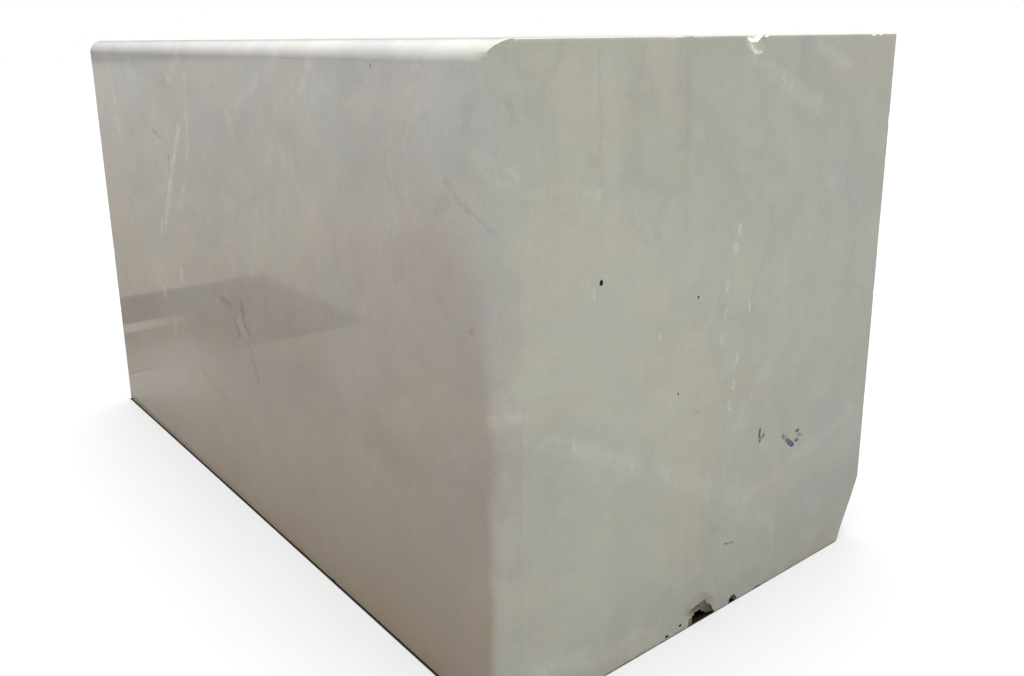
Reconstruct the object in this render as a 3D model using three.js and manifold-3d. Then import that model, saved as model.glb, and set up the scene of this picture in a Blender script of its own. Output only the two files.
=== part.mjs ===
// A squared block of pale marble: one solid piece of natural stone, as it leaves the saw.
//
// Millimetres. +X runs along the length, the long polished face looks towards -Y, the honed
// end face towards +X, and the underside rests on Z = 0, centred on the origin.

import * as THREE from "three";
import { mergeVertices } from "three/addons/utils/BufferGeometryUtils.js";
import Module from "manifold-3d";

// The block.
const LENGTH = 2610;
const WIDTH = 1380;
const HEIGHT = 1500;

// Its edges: the top front edge and the near upright edge are turned to a wide round, and the
// others keep a narrow sawn bevel.
const TOP_ROUND = 46;
const NEAR_ROUND = 57;
const ROUND_STEPS = 16;
const ARRIS = 4;

// The broken lower corner of the end face: how far the break runs along each edge from it.
const BREAK_UP = 192;
const BREAK_ACROSS = 92;
const BREAK_ALONG = 520;
const BREAK_CELLS = 14;
const BREAK_ROUGHNESS = 4;

// The chip knocked out of the end face's top edge.
const NOTCH_PLACE = 72;
const NOTCH_WIDTH = 62;
const NOTCH_DEPTH = 16;
const NOTCH_REACH = 44;

// The crumbled hollow in the end face's bottom edge, the shallow spall above it, and the
// nick beside them.
const HOLLOW_PLACE = -26;
const HOLLOW_WIDTH = 78;
const HOLLOW_HEIGHT = 30;
const HOLLOW_REACH = 62;
const SPALL_WIDTH = 104;
const SPALL_HEIGHT = 66;
const SPALL_REACH = 9;
const NICK_PLACE = 98;
const NICK_SIZE = 16;

// Small chips along the sawn edges.
const CHIP_SPACING = 420;
const CHIP_SHORTEST = 14;
const CHIP_LONGEST = 52;
const CHIP_DEPTH = 5;
const CHIP_SEED = 41;

const WELD = 1e-3;

const wasm = await Module();
wasm.setup();

/** A closed three.js geometry as a solid that can be joined and cut. */
function solidOf(geometry) {
  geometry.deleteAttribute("normal");
  geometry.deleteAttribute("uv");
  const welded = mergeVertices(geometry, WELD);
  return new wasm.Manifold(new wasm.Mesh({
    numProp: 3,
    vertProperties: new Float32Array(welded.attributes.position.array),
    triVerts: new Uint32Array(welded.index.array),
  }));
}

/** A solid back as a three.js geometry with flat-shaded faces. */
function geometryOf(solid) {
  const mesh = solid.getMesh();
  const geometry = new THREE.BufferGeometry();
  geometry.setAttribute("position", new THREE.BufferAttribute(mesh.vertProperties, 3));
  geometry.setIndex(new THREE.BufferAttribute(mesh.triVerts, 1));
  geometry.computeVertexNormals();
  return geometry;
}

/** Repeatable numbers from 0 to 1 (a small linear congruential generator). */
function numbersFrom(seed) {
  let state = seed;
  return () => {
    state = (state * 1664525 + 1013904223) % 4294967296;
    return state / 4294967296;
  };
}

/** A smooth, repeatable unevenness between about -1 and 1 at a point. */
function unevenness(point, pitch) {
  const { x, y, z } = point.clone().divideScalar(pitch);
  const broad = Math.sin(1.7 * x + 0.9 * y) * Math.cos(1.3 * z - 0.8 * x + 0.5);
  const fine = Math.sin(4.1 * y - 2.3 * z + 1.1) * Math.cos(3.7 * x + 1.9 * z);
  return 0.65 * broad + 0.35 * fine;
}

/** Moves every vertex of a geometry along a direction that depends on where it is. */
function roughen(geometry, directionAt, amount, pitch) {
  const position = geometry.attributes.position;
  const point = new THREE.Vector3();
  for (let i = 0; i < position.count; i += 1) {
    point.fromBufferAttribute(position, i);
    const push = directionAt(point).multiplyScalar(amount * unevenness(point, pitch));
    point.add(push);
    position.setXYZ(i, point.x, point.y, point.z);
  }
  return geometry;
}

/** The outline of a rectangle with bevelled corners, one of which may be rounded instead. */
function outline(x0, x1, y0, y1, roundedCorner = -1, radius = 0) {
  const corners = [[x0, y0], [x1, y0], [x1, y1], [x0, y1]].map((c) => new THREE.Vector2(...c));
  const shape = new THREE.Shape();
  corners.forEach((corner, i) => {
    const arriving = corner.clone().sub(corners[(i + 3) % 4]).normalize();
    const leaving = corners[(i + 1) % 4].clone().sub(corner).normalize();
    const cut = i === roundedCorner ? radius : ARRIS;
    const start = corner.clone().addScaledVector(arriving, -cut);
    const end = corner.clone().addScaledVector(leaving, cut);
    const move = i === 0 ? "moveTo" : "lineTo";
    shape[move](start.x, start.y);
    if (i === roundedCorner) {
      const centre = start.clone().addScaledVector(leaving, cut);
      const from = start.clone().sub(centre).angle();
      const to = end.clone().sub(centre).angle();
      shape.absarc(centre.x, centre.y, cut, from, to, false);
    } else {
      shape.lineTo(end.x, end.y);
    }
  });
  shape.closePath();
  return shape;
}

/** An outline drawn on two of the block's axes and extruded along the third. */
function prism(shape, depth, across, up, start) {
  const geometry = new THREE.ExtrudeGeometry(shape, {
    depth,
    steps: 1,
    bevelEnabled: false,
    curveSegments: ROUND_STEPS,
  });
  const along = across.clone().cross(up);
  geometry.applyMatrix4(new THREE.Matrix4().makeBasis(across, up, along));
  geometry.translate(...start.toArray());
  return solidOf(geometry);
}

/** The sawn block: its end, plan and side outlines extruded and intersected, so that the
 *  two wide rounds meet in a mitre at the near top corner. */
function sawnBlock() {
  const X = new THREE.Vector3(1, 0, 0);
  const Y = new THREE.Vector3(0, 1, 0);
  const Z = new THREE.Vector3(0, 0, 1);
  const halfLength = LENGTH / 2;
  const halfWidth = WIDTH / 2;
  const endOutline = outline(-halfWidth, halfWidth, 0, HEIGHT, 3, TOP_ROUND);
  const planOutline = outline(-halfLength, halfLength, -halfWidth, halfWidth, 1, NEAR_ROUND);
  const sideOutline = outline(-halfLength, halfLength, 0, HEIGHT);
  const section = prism(endOutline, LENGTH, Y, Z, new THREE.Vector3(-halfLength, 0, 0));
  const plan = prism(planOutline, HEIGHT, X, Y, new THREE.Vector3(0, 0, 0));
  const side = prism(sideOutline, WIDTH, X, Z, new THREE.Vector3(0, halfWidth, 0));
  return section.intersect(plan).intersect(side);
}

/** The stone lost at the broken corner: a thick slab whose rough inner face is the break. */
function cornerBreak() {
  const corner = new THREE.Vector3(LENGTH / 2, WIDTH / 2, 0);
  const above = corner.clone().add(new THREE.Vector3(0, 0, BREAK_UP));
  const beside = corner.clone().add(new THREE.Vector3(0, -BREAK_ACROSS, 0));
  const behind = corner.clone().add(new THREE.Vector3(-BREAK_ALONG, 0, 0));
  const along = above.clone().sub(behind).normalize();
  const outward = beside.clone().sub(behind).cross(above.clone().sub(behind)).normalize();
  if (outward.dot(corner.clone().sub(behind)) < 0) {
    outward.negate();
  }
  const across = outward.clone().cross(along);
  const reach = 2.2 * BREAK_ALONG;
  const thickness = BREAK_ALONG / 2;
  const geometry = new THREE.BoxGeometry(reach, reach, thickness, BREAK_CELLS, BREAK_CELLS, 1);
  geometry.translate(0, 0, thickness / 2);
  const onBreak = (point) => new THREE.Vector3(0, 0, point.z < thickness / 2 ? 1 : 0);
  roughen(geometry, onBreak, BREAK_ROUGHNESS, 45);
  geometry.applyMatrix4(new THREE.Matrix4().makeBasis(along, across, outward));
  const middle = above.add(beside).add(behind).divideScalar(3);
  geometry.translate(...middle.toArray());
  return solidOf(geometry);
}

/** An uneven lump of the given overall size, centred on a point, for cutting a hollow. */
function lump(size, centre, detail = 2) {
  const geometry = new THREE.IcosahedronGeometry(0.5, detail);
  roughen(geometry, (point) => point.clone().normalize(), 0.07, 0.35);
  geometry.scale(size.x, size.y, size.z);
  geometry.translate(...centre.toArray());
  return solidOf(geometry);
}

/** The hollows in the end face's two level edges: notch, crumbled hollow, spall and nick. */
function endFaceHollows() {
  const face = LENGTH / 2;
  const notchSize = new THREE.Vector3(2 * NOTCH_REACH, NOTCH_WIDTH, 2 * NOTCH_DEPTH);
  const hollowSize = new THREE.Vector3(2 * HOLLOW_REACH, HOLLOW_WIDTH, 2 * HOLLOW_HEIGHT);
  const spallSize = new THREE.Vector3(2 * SPALL_REACH, SPALL_WIDTH, 2 * SPALL_HEIGHT);
  const nickSize = new THREE.Vector3(2 * NICK_SIZE, 2 * NICK_SIZE, 2 * NICK_SIZE);
  return [
    lump(notchSize, new THREE.Vector3(face, NOTCH_PLACE, HEIGHT)),
    lump(hollowSize, new THREE.Vector3(face, HOLLOW_PLACE, 0)),
    lump(spallSize, new THREE.Vector3(face, HOLLOW_PLACE, 0)),
    lump(nickSize, new THREE.Vector3(face, NICK_PLACE, 0), 1),
  ];
}

/** The ten sawn edges, each as its two ends: every edge but the two rounded ones. */
function sawnEdges() {
  const x = LENGTH / 2;
  const y = WIDTH / 2;
  const ends = [
    [[-x, y, HEIGHT], [x, y, HEIGHT]],
    [[-x, -y, 0], [x, -y, 0]],
    [[-x, y, 0], [x, y, 0]],
    [[-x, -y, HEIGHT], [-x, y, HEIGHT]],
    [[x, -y, HEIGHT], [x, y, HEIGHT]],
    [[-x, -y, 0], [-x, y, 0]],
    [[x, -y, 0], [x, y, 0]],
    [[-x, -y, 0], [-x, -y, HEIGHT]],
    [[-x, y, 0], [-x, y, HEIGHT]],
    [[x, y, 0], [x, y, HEIGHT]],
  ];
  return ends.map((pair) => pair.map((end) => new THREE.Vector3(...end)));
}

/** Small chips scattered along every sawn edge, each a long thin lump set into the edge. */
function edgeChips() {
  const next = numbersFrom(CHIP_SEED);
  const chips = [];
  for (const [start, end] of sawnEdges()) {
    const run = end.clone().sub(start);
    const count = Math.round(run.length() / CHIP_SPACING);
    for (let i = 0; i < count; i += 1) {
      const place = start.clone().addScaledVector(run, (i + 0.2 + 0.6 * next()) / count);
      const long = CHIP_SHORTEST + (CHIP_LONGEST - CHIP_SHORTEST) * next() ** 2;
      const deep = 2 * (ARRIS + CHIP_DEPTH * next());
      const size = new THREE.Vector3(deep, deep, deep);
      size.setComponent(["x", "y", "z"].findIndex((axis) => Math.abs(run[axis]) > 0), long);
      chips.push(lump(size, place, 1));
    }
  }
  return chips;
}

/** The block with its broken corner, hollows and chips cut away. */
function marbleBlock() {
  const cuts = [cornerBreak(), ...endFaceHollows(), ...edgeChips()];
  const stone = cuts.reduce((solid, cut) => solid.subtract(cut), sawnBlock());
  const marble = new THREE.MeshStandardMaterial({
    color: new THREE.Color(0.74, 0.73, 0.69),
    roughness: 0.38,
    metalness: 0,
    flatShading: true,
  });
  const mesh = new THREE.Mesh(geometryOf(stone), marble);
  mesh.name = "marble_block";
  return mesh;
}

const part = new THREE.Group();
part.add(marbleBlock());

export default part;
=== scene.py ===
"""A squared quarry block of pale marble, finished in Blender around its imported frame.

The stone is cut as a mason would: a bevelled blank, two edges turned to a wide round, a broken
lower corner, hollows and small chips. Each kind of surface then gets its own finish of the same
marble. Lengths are metres, +X runs along the block, the polished long face looks towards -Y,
the honed end face towards +X, and the underside rests on Z = 0.
"""

import sys
import logging
import math
import random
from collections.abc import Callable, Iterable
from dataclasses import dataclass, field
from enum import Enum
from typing import ClassVar

import bpy
import numpy as np
from mathutils import Matrix, Vector, noise


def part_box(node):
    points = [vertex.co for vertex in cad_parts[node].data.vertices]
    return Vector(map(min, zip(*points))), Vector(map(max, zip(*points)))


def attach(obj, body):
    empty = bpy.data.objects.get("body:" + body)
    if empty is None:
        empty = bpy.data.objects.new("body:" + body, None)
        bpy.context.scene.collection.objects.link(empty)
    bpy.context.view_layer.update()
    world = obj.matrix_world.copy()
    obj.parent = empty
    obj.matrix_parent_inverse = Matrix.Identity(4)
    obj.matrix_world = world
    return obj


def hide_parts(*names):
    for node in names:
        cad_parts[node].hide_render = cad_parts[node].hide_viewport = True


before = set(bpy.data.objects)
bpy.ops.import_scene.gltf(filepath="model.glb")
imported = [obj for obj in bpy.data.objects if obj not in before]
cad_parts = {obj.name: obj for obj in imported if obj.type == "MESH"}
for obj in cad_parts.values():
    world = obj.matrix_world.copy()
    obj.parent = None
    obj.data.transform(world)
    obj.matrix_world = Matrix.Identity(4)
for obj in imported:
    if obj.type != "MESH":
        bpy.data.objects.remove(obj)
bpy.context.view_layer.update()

log = logging.getLogger("marble_block")

MM = 0.001
NODE = "marble_block"

GRID_GROWTH = 1.22
TOP_ROUND = 46 * MM
NEAR_ROUND = 57 * MM

Colour = tuple[float, float, float]
Place = tuple[float, float]


class Kind(Enum):
    """How a stretch of the block's surface was left."""

    POLISHED = "polished"
    HONED = "honed"
    SAWN = "sawn"
    # A top darkened as painted shade against the strong overhead light.
    DARKENED_TOP = "darkened_top"
    BROKEN = "broken"
    CRUMBLED = "crumbled"
    # Near black inside the hollows and pits: painted shade.
    SHADE_FILLED = "shade_filled"


# --------------------------------------------------------------------------------------
# Meshes
# --------------------------------------------------------------------------------------


def mesh_object(
    name: str, points: Iterable[Vector], faces: Iterable[tuple[int, ...]]
) -> bpy.types.Object:
    """Makes a mesh object at the origin and links it to the scene.

    Args:
        name: The object's name.
        points: Its vertices.
        faces: Its faces, as rings of vertex numbers.

    Returns:
        The new object.
    """
    mesh = bpy.data.meshes.new(name)
    mesh.from_pydata([tuple(p) for p in points], [], list(faces))
    mesh.update()
    made = bpy.data.objects.new(name, mesh)
    bpy.context.scene.collection.objects.link(made)
    return made


def drop(thing: bpy.types.Object) -> None:
    """Removes an object and the mesh that only it used.

    Args:
        thing: The object.
    """
    mesh = thing.data
    bpy.data.objects.remove(thing)
    if mesh.users == 0:
        bpy.data.meshes.remove(mesh)


def settle(thing: bpy.types.Object) -> None:
    """Turns an object's modifiers into plain mesh and removes them.

    Args:
        thing: The object.
    """
    depsgraph = bpy.context.evaluated_depsgraph_get()
    made = bpy.data.meshes.new_from_object(thing.evaluated_get(depsgraph))
    old = thing.data
    thing.modifiers.clear()
    thing.data = made
    bpy.data.meshes.remove(old)


def subtract(
    stone: bpy.types.Object, cutter: bpy.types.Object, finish: bpy.types.Material | None = None
) -> None:
    """Cuts one closed mesh out of another and drops the cutter.

    Args:
        stone: The mesh that is cut.
        cutter: The closed mesh that is taken away.
        finish: What the cut surface takes, or None where the cutter carries it already.
    """
    if finish is not None:
        cutter.data.materials.clear()
        cutter.data.materials.append(finish)
    before = len(stone.data.polygons)
    cut = stone.modifiers.new("cut", "BOOLEAN")
    cut.operation = "DIFFERENCE"
    cut.solver = "MANIFOLD"
    cut.material_mode = "TRANSFER"
    cut.object = cutter
    settle(stone)
    log.info("cut %s: %d faces became %d", cutter.name, before, len(stone.data.polygons))
    drop(cutter)


def grid_lines(
    low: float, high: float, arris: float, fine: float, coarse: float, marks: Iterable[float]
) -> list[float]:
    """Places the lines of a grid between two faces, close together near both.

    Args:
        low: The first line.
        high: The last line.
        arris: The edge's small radius, which takes a line at its start and its middle.
        fine: The spacing just inside the edges.
        coarse: The spacing in the middle.
        marks: Distances in from either face that take a line of their own.

    Returns:
        The lines in rising order.
    """
    half = (high - low) / 2
    inward = [0.0, arris / 2, arris]
    step = fine
    while inward[-1] + step < half:
        inward.append(inward[-1] + step)
        step = min(step * GRID_GROWTH, coarse)
    inward = [d for d in inward if all(abs(d - m) > 0.4 * fine for m in marks)]
    inward = sorted([*inward, *marks])
    return [low + d for d in inward] + [high - d for d in reversed(inward)]


def box_skin(lines: tuple[list[float], ...]) -> tuple[list[Vector], list[tuple[int, ...]]]:
    """Builds the closed skin of a box from its grid lines along X, Y and Z.

    Args:
        lines: Three lists of coordinates in rising order.

    Returns:
        The points, and the faces as rings that turn outwards.
    """
    numbers: dict[tuple[int, ...], int] = {}
    points: list[Vector] = []
    faces: list[tuple[int, ...]] = []

    def number(cell: tuple[int, ...]) -> int:
        """Numbers a grid point, which is made the first time it is asked for.

        Args:
            cell: The point's place along each list of lines.

        Returns:
            Its number.
        """
        if cell not in numbers:
            numbers[cell] = len(points)
            points.append(Vector([lines[k][cell[k]] for k in range(3)]))
        return numbers[cell]

    for axis in range(3):
        across, up = (axis + 1) % 3, (axis + 2) % 3
        for side in (0, len(lines[axis]) - 1):
            for i in range(len(lines[across]) - 1):
                for j in range(len(lines[up]) - 1):
                    ring = []
                    for a, b in ((i, j), (i + 1, j), (i + 1, j + 1), (i, j + 1)):
                        cell = [0, 0, 0]
                        cell[axis], cell[across], cell[up] = side, a, b
                        ring.append(number(tuple(cell)))
                    faces.append(tuple(ring if side else reversed(ring)))
    return points, faces


def unevenness(point: Vector, pitch: float, octaves: int = 4) -> float:
    """Reads fractal noise between about -1 and 1, whose largest features have a given pitch."""
    return noise.fractal(point / pitch, 0.9, 2.1, octaves)


def lump(
    name: str, centre: Vector, size: Vector, roughness: float, detail: int, lean: float = 0.0
) -> bpy.types.Object:
    """Makes an uneven closed lump, used to cut a hollow.

    Args:
        name: The cutter's name.
        centre: Its middle.
        size: Its overall size along X, Y and Z.
        roughness: How far its surface wanders, as a share of its radius.
        detail: How many times its faces are split.
        lean: How far its top is sheared along Y, as a share of its height.

    Returns:
        The lump.
    """
    bpy.ops.mesh.primitive_ico_sphere_add(subdivisions=detail, radius=0.5)
    made = bpy.context.active_object
    made.name = name
    for vertex in made.data.vertices:
        out = vertex.co.normalized()
        wander = unevenness(out + centre * 7.0, 0.55)
        facet = abs(unevenness(out * 1.7 + centre * 3.0, 0.8, 2))
        point = vertex.co * (1.0 + roughness * (wander - 0.7 * facet))
        point.y += lean * point.z
        vertex.co = centre + Vector([point[k] * size[k] for k in range(3)])
    return made


def open_edges(thing: bpy.types.Object) -> int:
    """Counts the edges of a mesh that don't join exactly two faces.

    Args:
        thing: The mesh's object.

    Returns:
        The count, which is 0 for a closed mesh.
    """
    uses = np.zeros(len(thing.data.edges), int)
    loops = np.empty(len(thing.data.loops), int)
    thing.data.loops.foreach_get("edge_index", loops)
    np.add.at(uses, loops, 1)
    return int((uses != 2).sum())


# --------------------------------------------------------------------------------------
# The blank
# --------------------------------------------------------------------------------------


@dataclass(frozen=True)
class RoundedEdge:
    """A long edge turned to a wide round.

    Attributes:
        name: What its cutter is called.
        first: One side that meets in it, as an axis number and +1 or -1.
        second: The other side.
        radius: Its radius.
    """

    name: str
    first: tuple[int, int]
    second: tuple[int, int]
    radius: float


@dataclass
class Blank:
    """The sawn block before anything is broken off: its sizes and its closed skin.

    Attributes:
        low: The lowest corner of its box.
        high: The highest corner of its box.
        rounds: The edges that are turned to a wide round.
        arris: The small radius of every other edge.
        fine: The grid's spacing near the edges.
        coarse: The grid's spacing in the middle of a face.
        wander: How far the sawn faces fall short of flat.
        nibble: How far the small radius wears back unevenly.
        round_steps: How many flats make up a round.
        spill: How far a round's cutter reaches past the block.
    """

    low: Vector
    high: Vector
    rounds: tuple[RoundedEdge, ...] = (
        RoundedEdge("round_top_front", (1, -1), (2, 1), TOP_ROUND),
        RoundedEdge("round_near_upright", (1, -1), (0, 1), NEAR_ROUND),
    )
    arris: float = 2.2 * MM
    fine: float = 6 * MM
    coarse: float = 27 * MM
    wander: float = 0.35 * MM
    nibble: float = 2.2 * MM
    round_steps: int = 24
    spill: float = 18 * MM

    def skin(self) -> bpy.types.Object:
        """Builds the blank's closed skin, its sharp edges eased and its faces not quite flat.

        Returns:
            The blank.
        """
        marks = [edge.radius + extra for edge in self.rounds for extra in (-1 * MM, 2 * MM)]
        lines = tuple(
            grid_lines(self.low[k], self.high[k], self.arris, self.fine, self.coarse, marks) for k in range(3)
        )
        points, faces = box_skin(lines)
        return mesh_object("marble_block_stone", [self.eased(p) for p in points], faces)

    def eased(self, point: Vector) -> Vector:
        """Moves a point of the square box onto the eased, slightly uneven surface.

        Args:
            point: The point on the box.

        Returns:
            Where it comes to lie.
        """
        inner = Vector()
        for k in range(3):
            inner[k] = min(max(point[k], self.low[k] + self.arris), self.high[k] - self.arris)
        out = point - inner
        turned = sum(abs(v) > 1e-7 for v in out) > 1
        out.normalize()
        short = self.wander * (0.5 + 0.5 * unevenness(point, 0.4, 3)) * self.clear_of_rounds(point)
        if turned:
            short += self.nibble * max(0.0, unevenness(point, 0.09)) ** 1.5
        if point.z - self.low.z < 1e-6 and not turned:
            short = 0.0
        return inner + out * (self.arris - min(short, 0.85 * self.arris))

    def clear_of_rounds(self, point: Vector) -> float:
        """Says how much of the unevenness a point may have, so that the rounds run true.

        Args:
            point: The point on the box.

        Returns:
            0 beside a rounded edge, rising to 1 at one more radius away from them all.
        """
        nearest = 1.0
        for edge in self.rounds:
            gaps = []
            for axis, sign in (edge.first, edge.second):
                face = self.high[axis] if sign > 0 else self.low[axis]
                gaps.append(abs(point[axis] - face))
            nearest = min(nearest, max(gaps) / edge.radius - 1.0)
        return max(0.0, nearest)

    def round_over(self, edge: RoundedEdge) -> bpy.types.Object:
        """Makes the cutter that turns one long edge to its round.

        Args:
            edge: The edge to turn.

        Returns:
            The cutter: the corner's square section less a quarter circle, run along the edge.
        """
        sides = (edge.first, edge.second)
        run = 3 - edge.first[0] - edge.second[0]
        faces_at = [self.high[a] if s > 0 else self.low[a] for a, s in sides]
        section = []
        for step in range(self.round_steps + 1):
            angle = math.pi / 2 * step / self.round_steps
            section.append((math.sin(angle), math.cos(angle)))
        far = 1 + self.spill / edge.radius
        section += [(far, 0.0), (far, far), (0.0, far)]
        stations = np.linspace(self.low[run] - self.spill, self.high[run] + self.spill, 60)
        points = []
        for station in stations:
            for a, b in section:
                point = Vector()
                point[run] = station
                for (axis, sign), face, out in zip(sides, faces_at, (a, b), strict=True):
                    point[axis] = face + sign * edge.radius * (out - 1)
                points.append(point)
        return self.tube(edge.name, points, len(section), len(stations))

    @staticmethod
    def tube(name: str, points: list[Vector], around: int, along: int) -> bpy.types.Object:
        """Skins rings of points into a closed tube with flat ends, its faces turned outwards.

        Args:
            name: The tube's name.
            points: Its points, ring after ring.
            around: How many points a ring has.
            along: How many rings there are.

        Returns:
            The tube.
        """
        faces = []
        for i in range(along - 1):
            for j in range(around):
                k = (j + 1) % around
                faces.append((i * around + j, i * around + k, (i + 1) * around + k, (i + 1) * around + j))
        faces.append(tuple(reversed(range(around))))
        faces.append(tuple(range((along - 1) * around, along * around)))
        made = mesh_object(name, points, faces)
        if sum(volume_under(made.data, face) for face in made.data.polygons) < 0:
            made.data.flip_normals()
        return made


def volume_under(mesh: bpy.types.Mesh, face: bpy.types.MeshPolygon) -> float:
    """Measures the signed volume between one face and the origin, times six.

    Args:
        mesh: The mesh.
        face: One of its faces.

    Returns:
        The volume, which is above 0 for a face that turns away from the origin.
    """
    corners = [mesh.vertices[i].co for i in face.vertices]
    pairs = zip(corners[1:-1], corners[2:], strict=True)
    return sum(corners[0].dot(b.cross(c)) for b, c in pairs)


# --------------------------------------------------------------------------------------
# What is broken off
# --------------------------------------------------------------------------------------


@dataclass
class CornerBreak:
    """The lower corner of the end face, broken off along a rough face.

    Attributes:
        corner: The corner as it was.
        up: How far up the break starts.
        across: How far it reaches along the end face's bottom edge.
        along: How far it reaches along the long back face.
        cell: The spacing of the rough face's grid.
        roughness: How far the rough face wanders.
    """

    corner: Vector
    up: float = 192 * MM
    across: float = 92 * MM
    along: float = 520 * MM
    cell: float = 7 * MM
    roughness: float = 5 * MM

    def cutter(self) -> bpy.types.Object:
        """Makes the slab whose rough inner side is the break.

        Returns:
            The cutter.
        """
        above = self.corner + Vector((0, 0, self.up))
        beside = self.corner + Vector((0, -self.across, 0))
        behind = self.corner + Vector((-self.along, 0, 0))
        run = (above - behind).normalized()
        out = (beside - behind).cross(above - behind).normalized()
        if out.dot(self.corner - behind) < 0:
            out.negate()
        side = out.cross(run)
        middle = (above + beside + behind) / 3
        reach = 0.75 * self.along
        steps = round(2 * reach / self.cell)
        lines = [-reach + 2 * reach * i / steps for i in range(steps + 1)]
        points, faces = box_skin((lines, lines, [0.0, reach]))
        turn = Matrix((run, side, out)).transposed()
        placed = []
        for point in points:
            if point.z < reach / 2:
                point.z += self.roughness * self.relief(point)
            placed.append(middle + turn @ point)
        return mesh_object("corner_break", placed, faces)

    @staticmethod
    def relief(point: Vector) -> float:
        """Shapes the broken face: broad shells crossed by short steps, and a fine tooth.

        Args:
            point: A point of the flat slab.

        Returns:
            The face's height there, as a share of its roughness.
        """
        shells = unevenness(point, 0.22, 3)
        steps = abs(unevenness(point + Vector((3.1, 1.7, 0.4)), 0.07, 3))
        tooth = unevenness(point, 0.014, 2)
        return shells - 0.9 * steps + 0.22 * tooth


@dataclass(frozen=True)
class Hollow:
    """One hollow to cut in the end face.

    Attributes:
        name: Its cutter's name.
        across: Its middle, from the near upright edge.
        up: Its middle, from the ground.
        size: Its cutter's size along X, Y and Z, in millimetres.
        roughness: How uneven it is.
        detail: How finely its cutter is divided.
        finish: The kind of surface that it leaves.
        lean: How far it slants along the face as it rises.
    """

    name: str
    across: float
    up: float
    size: tuple[float, float, float]
    roughness: float
    detail: int
    finish: Kind
    lean: float = 0.0

    def cutter(self, face: float, near: float, floor: float) -> bpy.types.Object:
        """Makes the closed lump, set into the end face from its near edge and the ground."""
        centre = Vector((face, near + self.across, floor + self.up))
        return lump(self.name, centre, Vector(self.size) * MM, self.roughness, self.detail, self.lean)


END_HOLLOWS = (
    # The chip out of the top edge, and the shallow scar that runs down from it.
    Hollow("notch", 0.762, 1.506, (74, 70, 44), 0.10, 5, Kind.BROKEN),
    Hollow("notch_scar", 0.772, 1.486, (7, 54, 60), 0.10, 5, Kind.BROKEN, -0.30),
    # The crumbled hollow in the bottom edge, its layered rim and the nick beside it.
    Hollow("crumbled_rim", 0.662, 0.000, (12, 104, 116), 0.14, 5, Kind.CRUMBLED, -0.15),
    Hollow("crumbled_ledge", 0.640, 0.034, (16, 54, 40), 0.20, 4, Kind.CRUMBLED),
    Hollow("hollow", 0.662, 0.000, (150, 60, 62), 0.20, 5, Kind.SHADE_FILLED, -0.35),
    Hollow("hollow_tail", 0.690, 0.000, (90, 56, 20), 0.20, 4, Kind.SHADE_FILLED),
    Hollow("nick", 0.790, 0.001, (30, 28, 22), 0.24, 4, Kind.SHADE_FILLED),
    Hollow("nick_rim", 0.794, 0.008, (7, 34, 26), 0.24, 4, Kind.CRUMBLED),
    # Pits in the face itself.
    Hollow("pit_dark", 0.28, 0.99, (17, 10, 15), 0.25, 3, Kind.SHADE_FILLED),
    Hollow("pit_high", 0.60, 0.90, (10, 6, 8), 0.25, 3, Kind.SHADE_FILLED),
    Hollow("pit_low", 0.54, 0.67, (9, 5, 7), 0.25, 3, Kind.SHADE_FILLED),
    Hollow("pit_near", 0.03, 0.54, (9, 6, 8), 0.25, 3, Kind.SHADE_FILLED),
    Hollow("pit_foot", 0.58, 0.02, (16, 10, 9), 0.25, 3, Kind.SHADE_FILLED),
    Hollow("pit_edge", 0.53, 0.01, (18, 13, 9), 0.25, 3, Kind.SHADE_FILLED),
)


class Inputs:
    """The named inputs of a Geometry Nodes modifier, set by their sockets' identifiers."""

    def __init__(self, modifier: bpy.types.NodesModifier) -> None:
        """Keeps the modifier whose inputs are set."""
        self.modifier = modifier

    def set(self, **values: object) -> None:
        """Sets inputs by name.

        Args:
            values: The values, each named for its input with _ for a space.

        Raises:
            KeyError: If there is no input of a name.
        """
        wanted = {name.replace("_", " "): value for name, value in values.items()}
        for item in self.modifier.node_group.interface.items_tree:
            if item.item_type == "SOCKET" and item.in_out == "INPUT" and item.name in wanted:
                self.modifier[item.identifier] = wanted.pop(item.name)
        if wanted:
            raise KeyError(f"no such inputs: {sorted(wanted)}")


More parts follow.
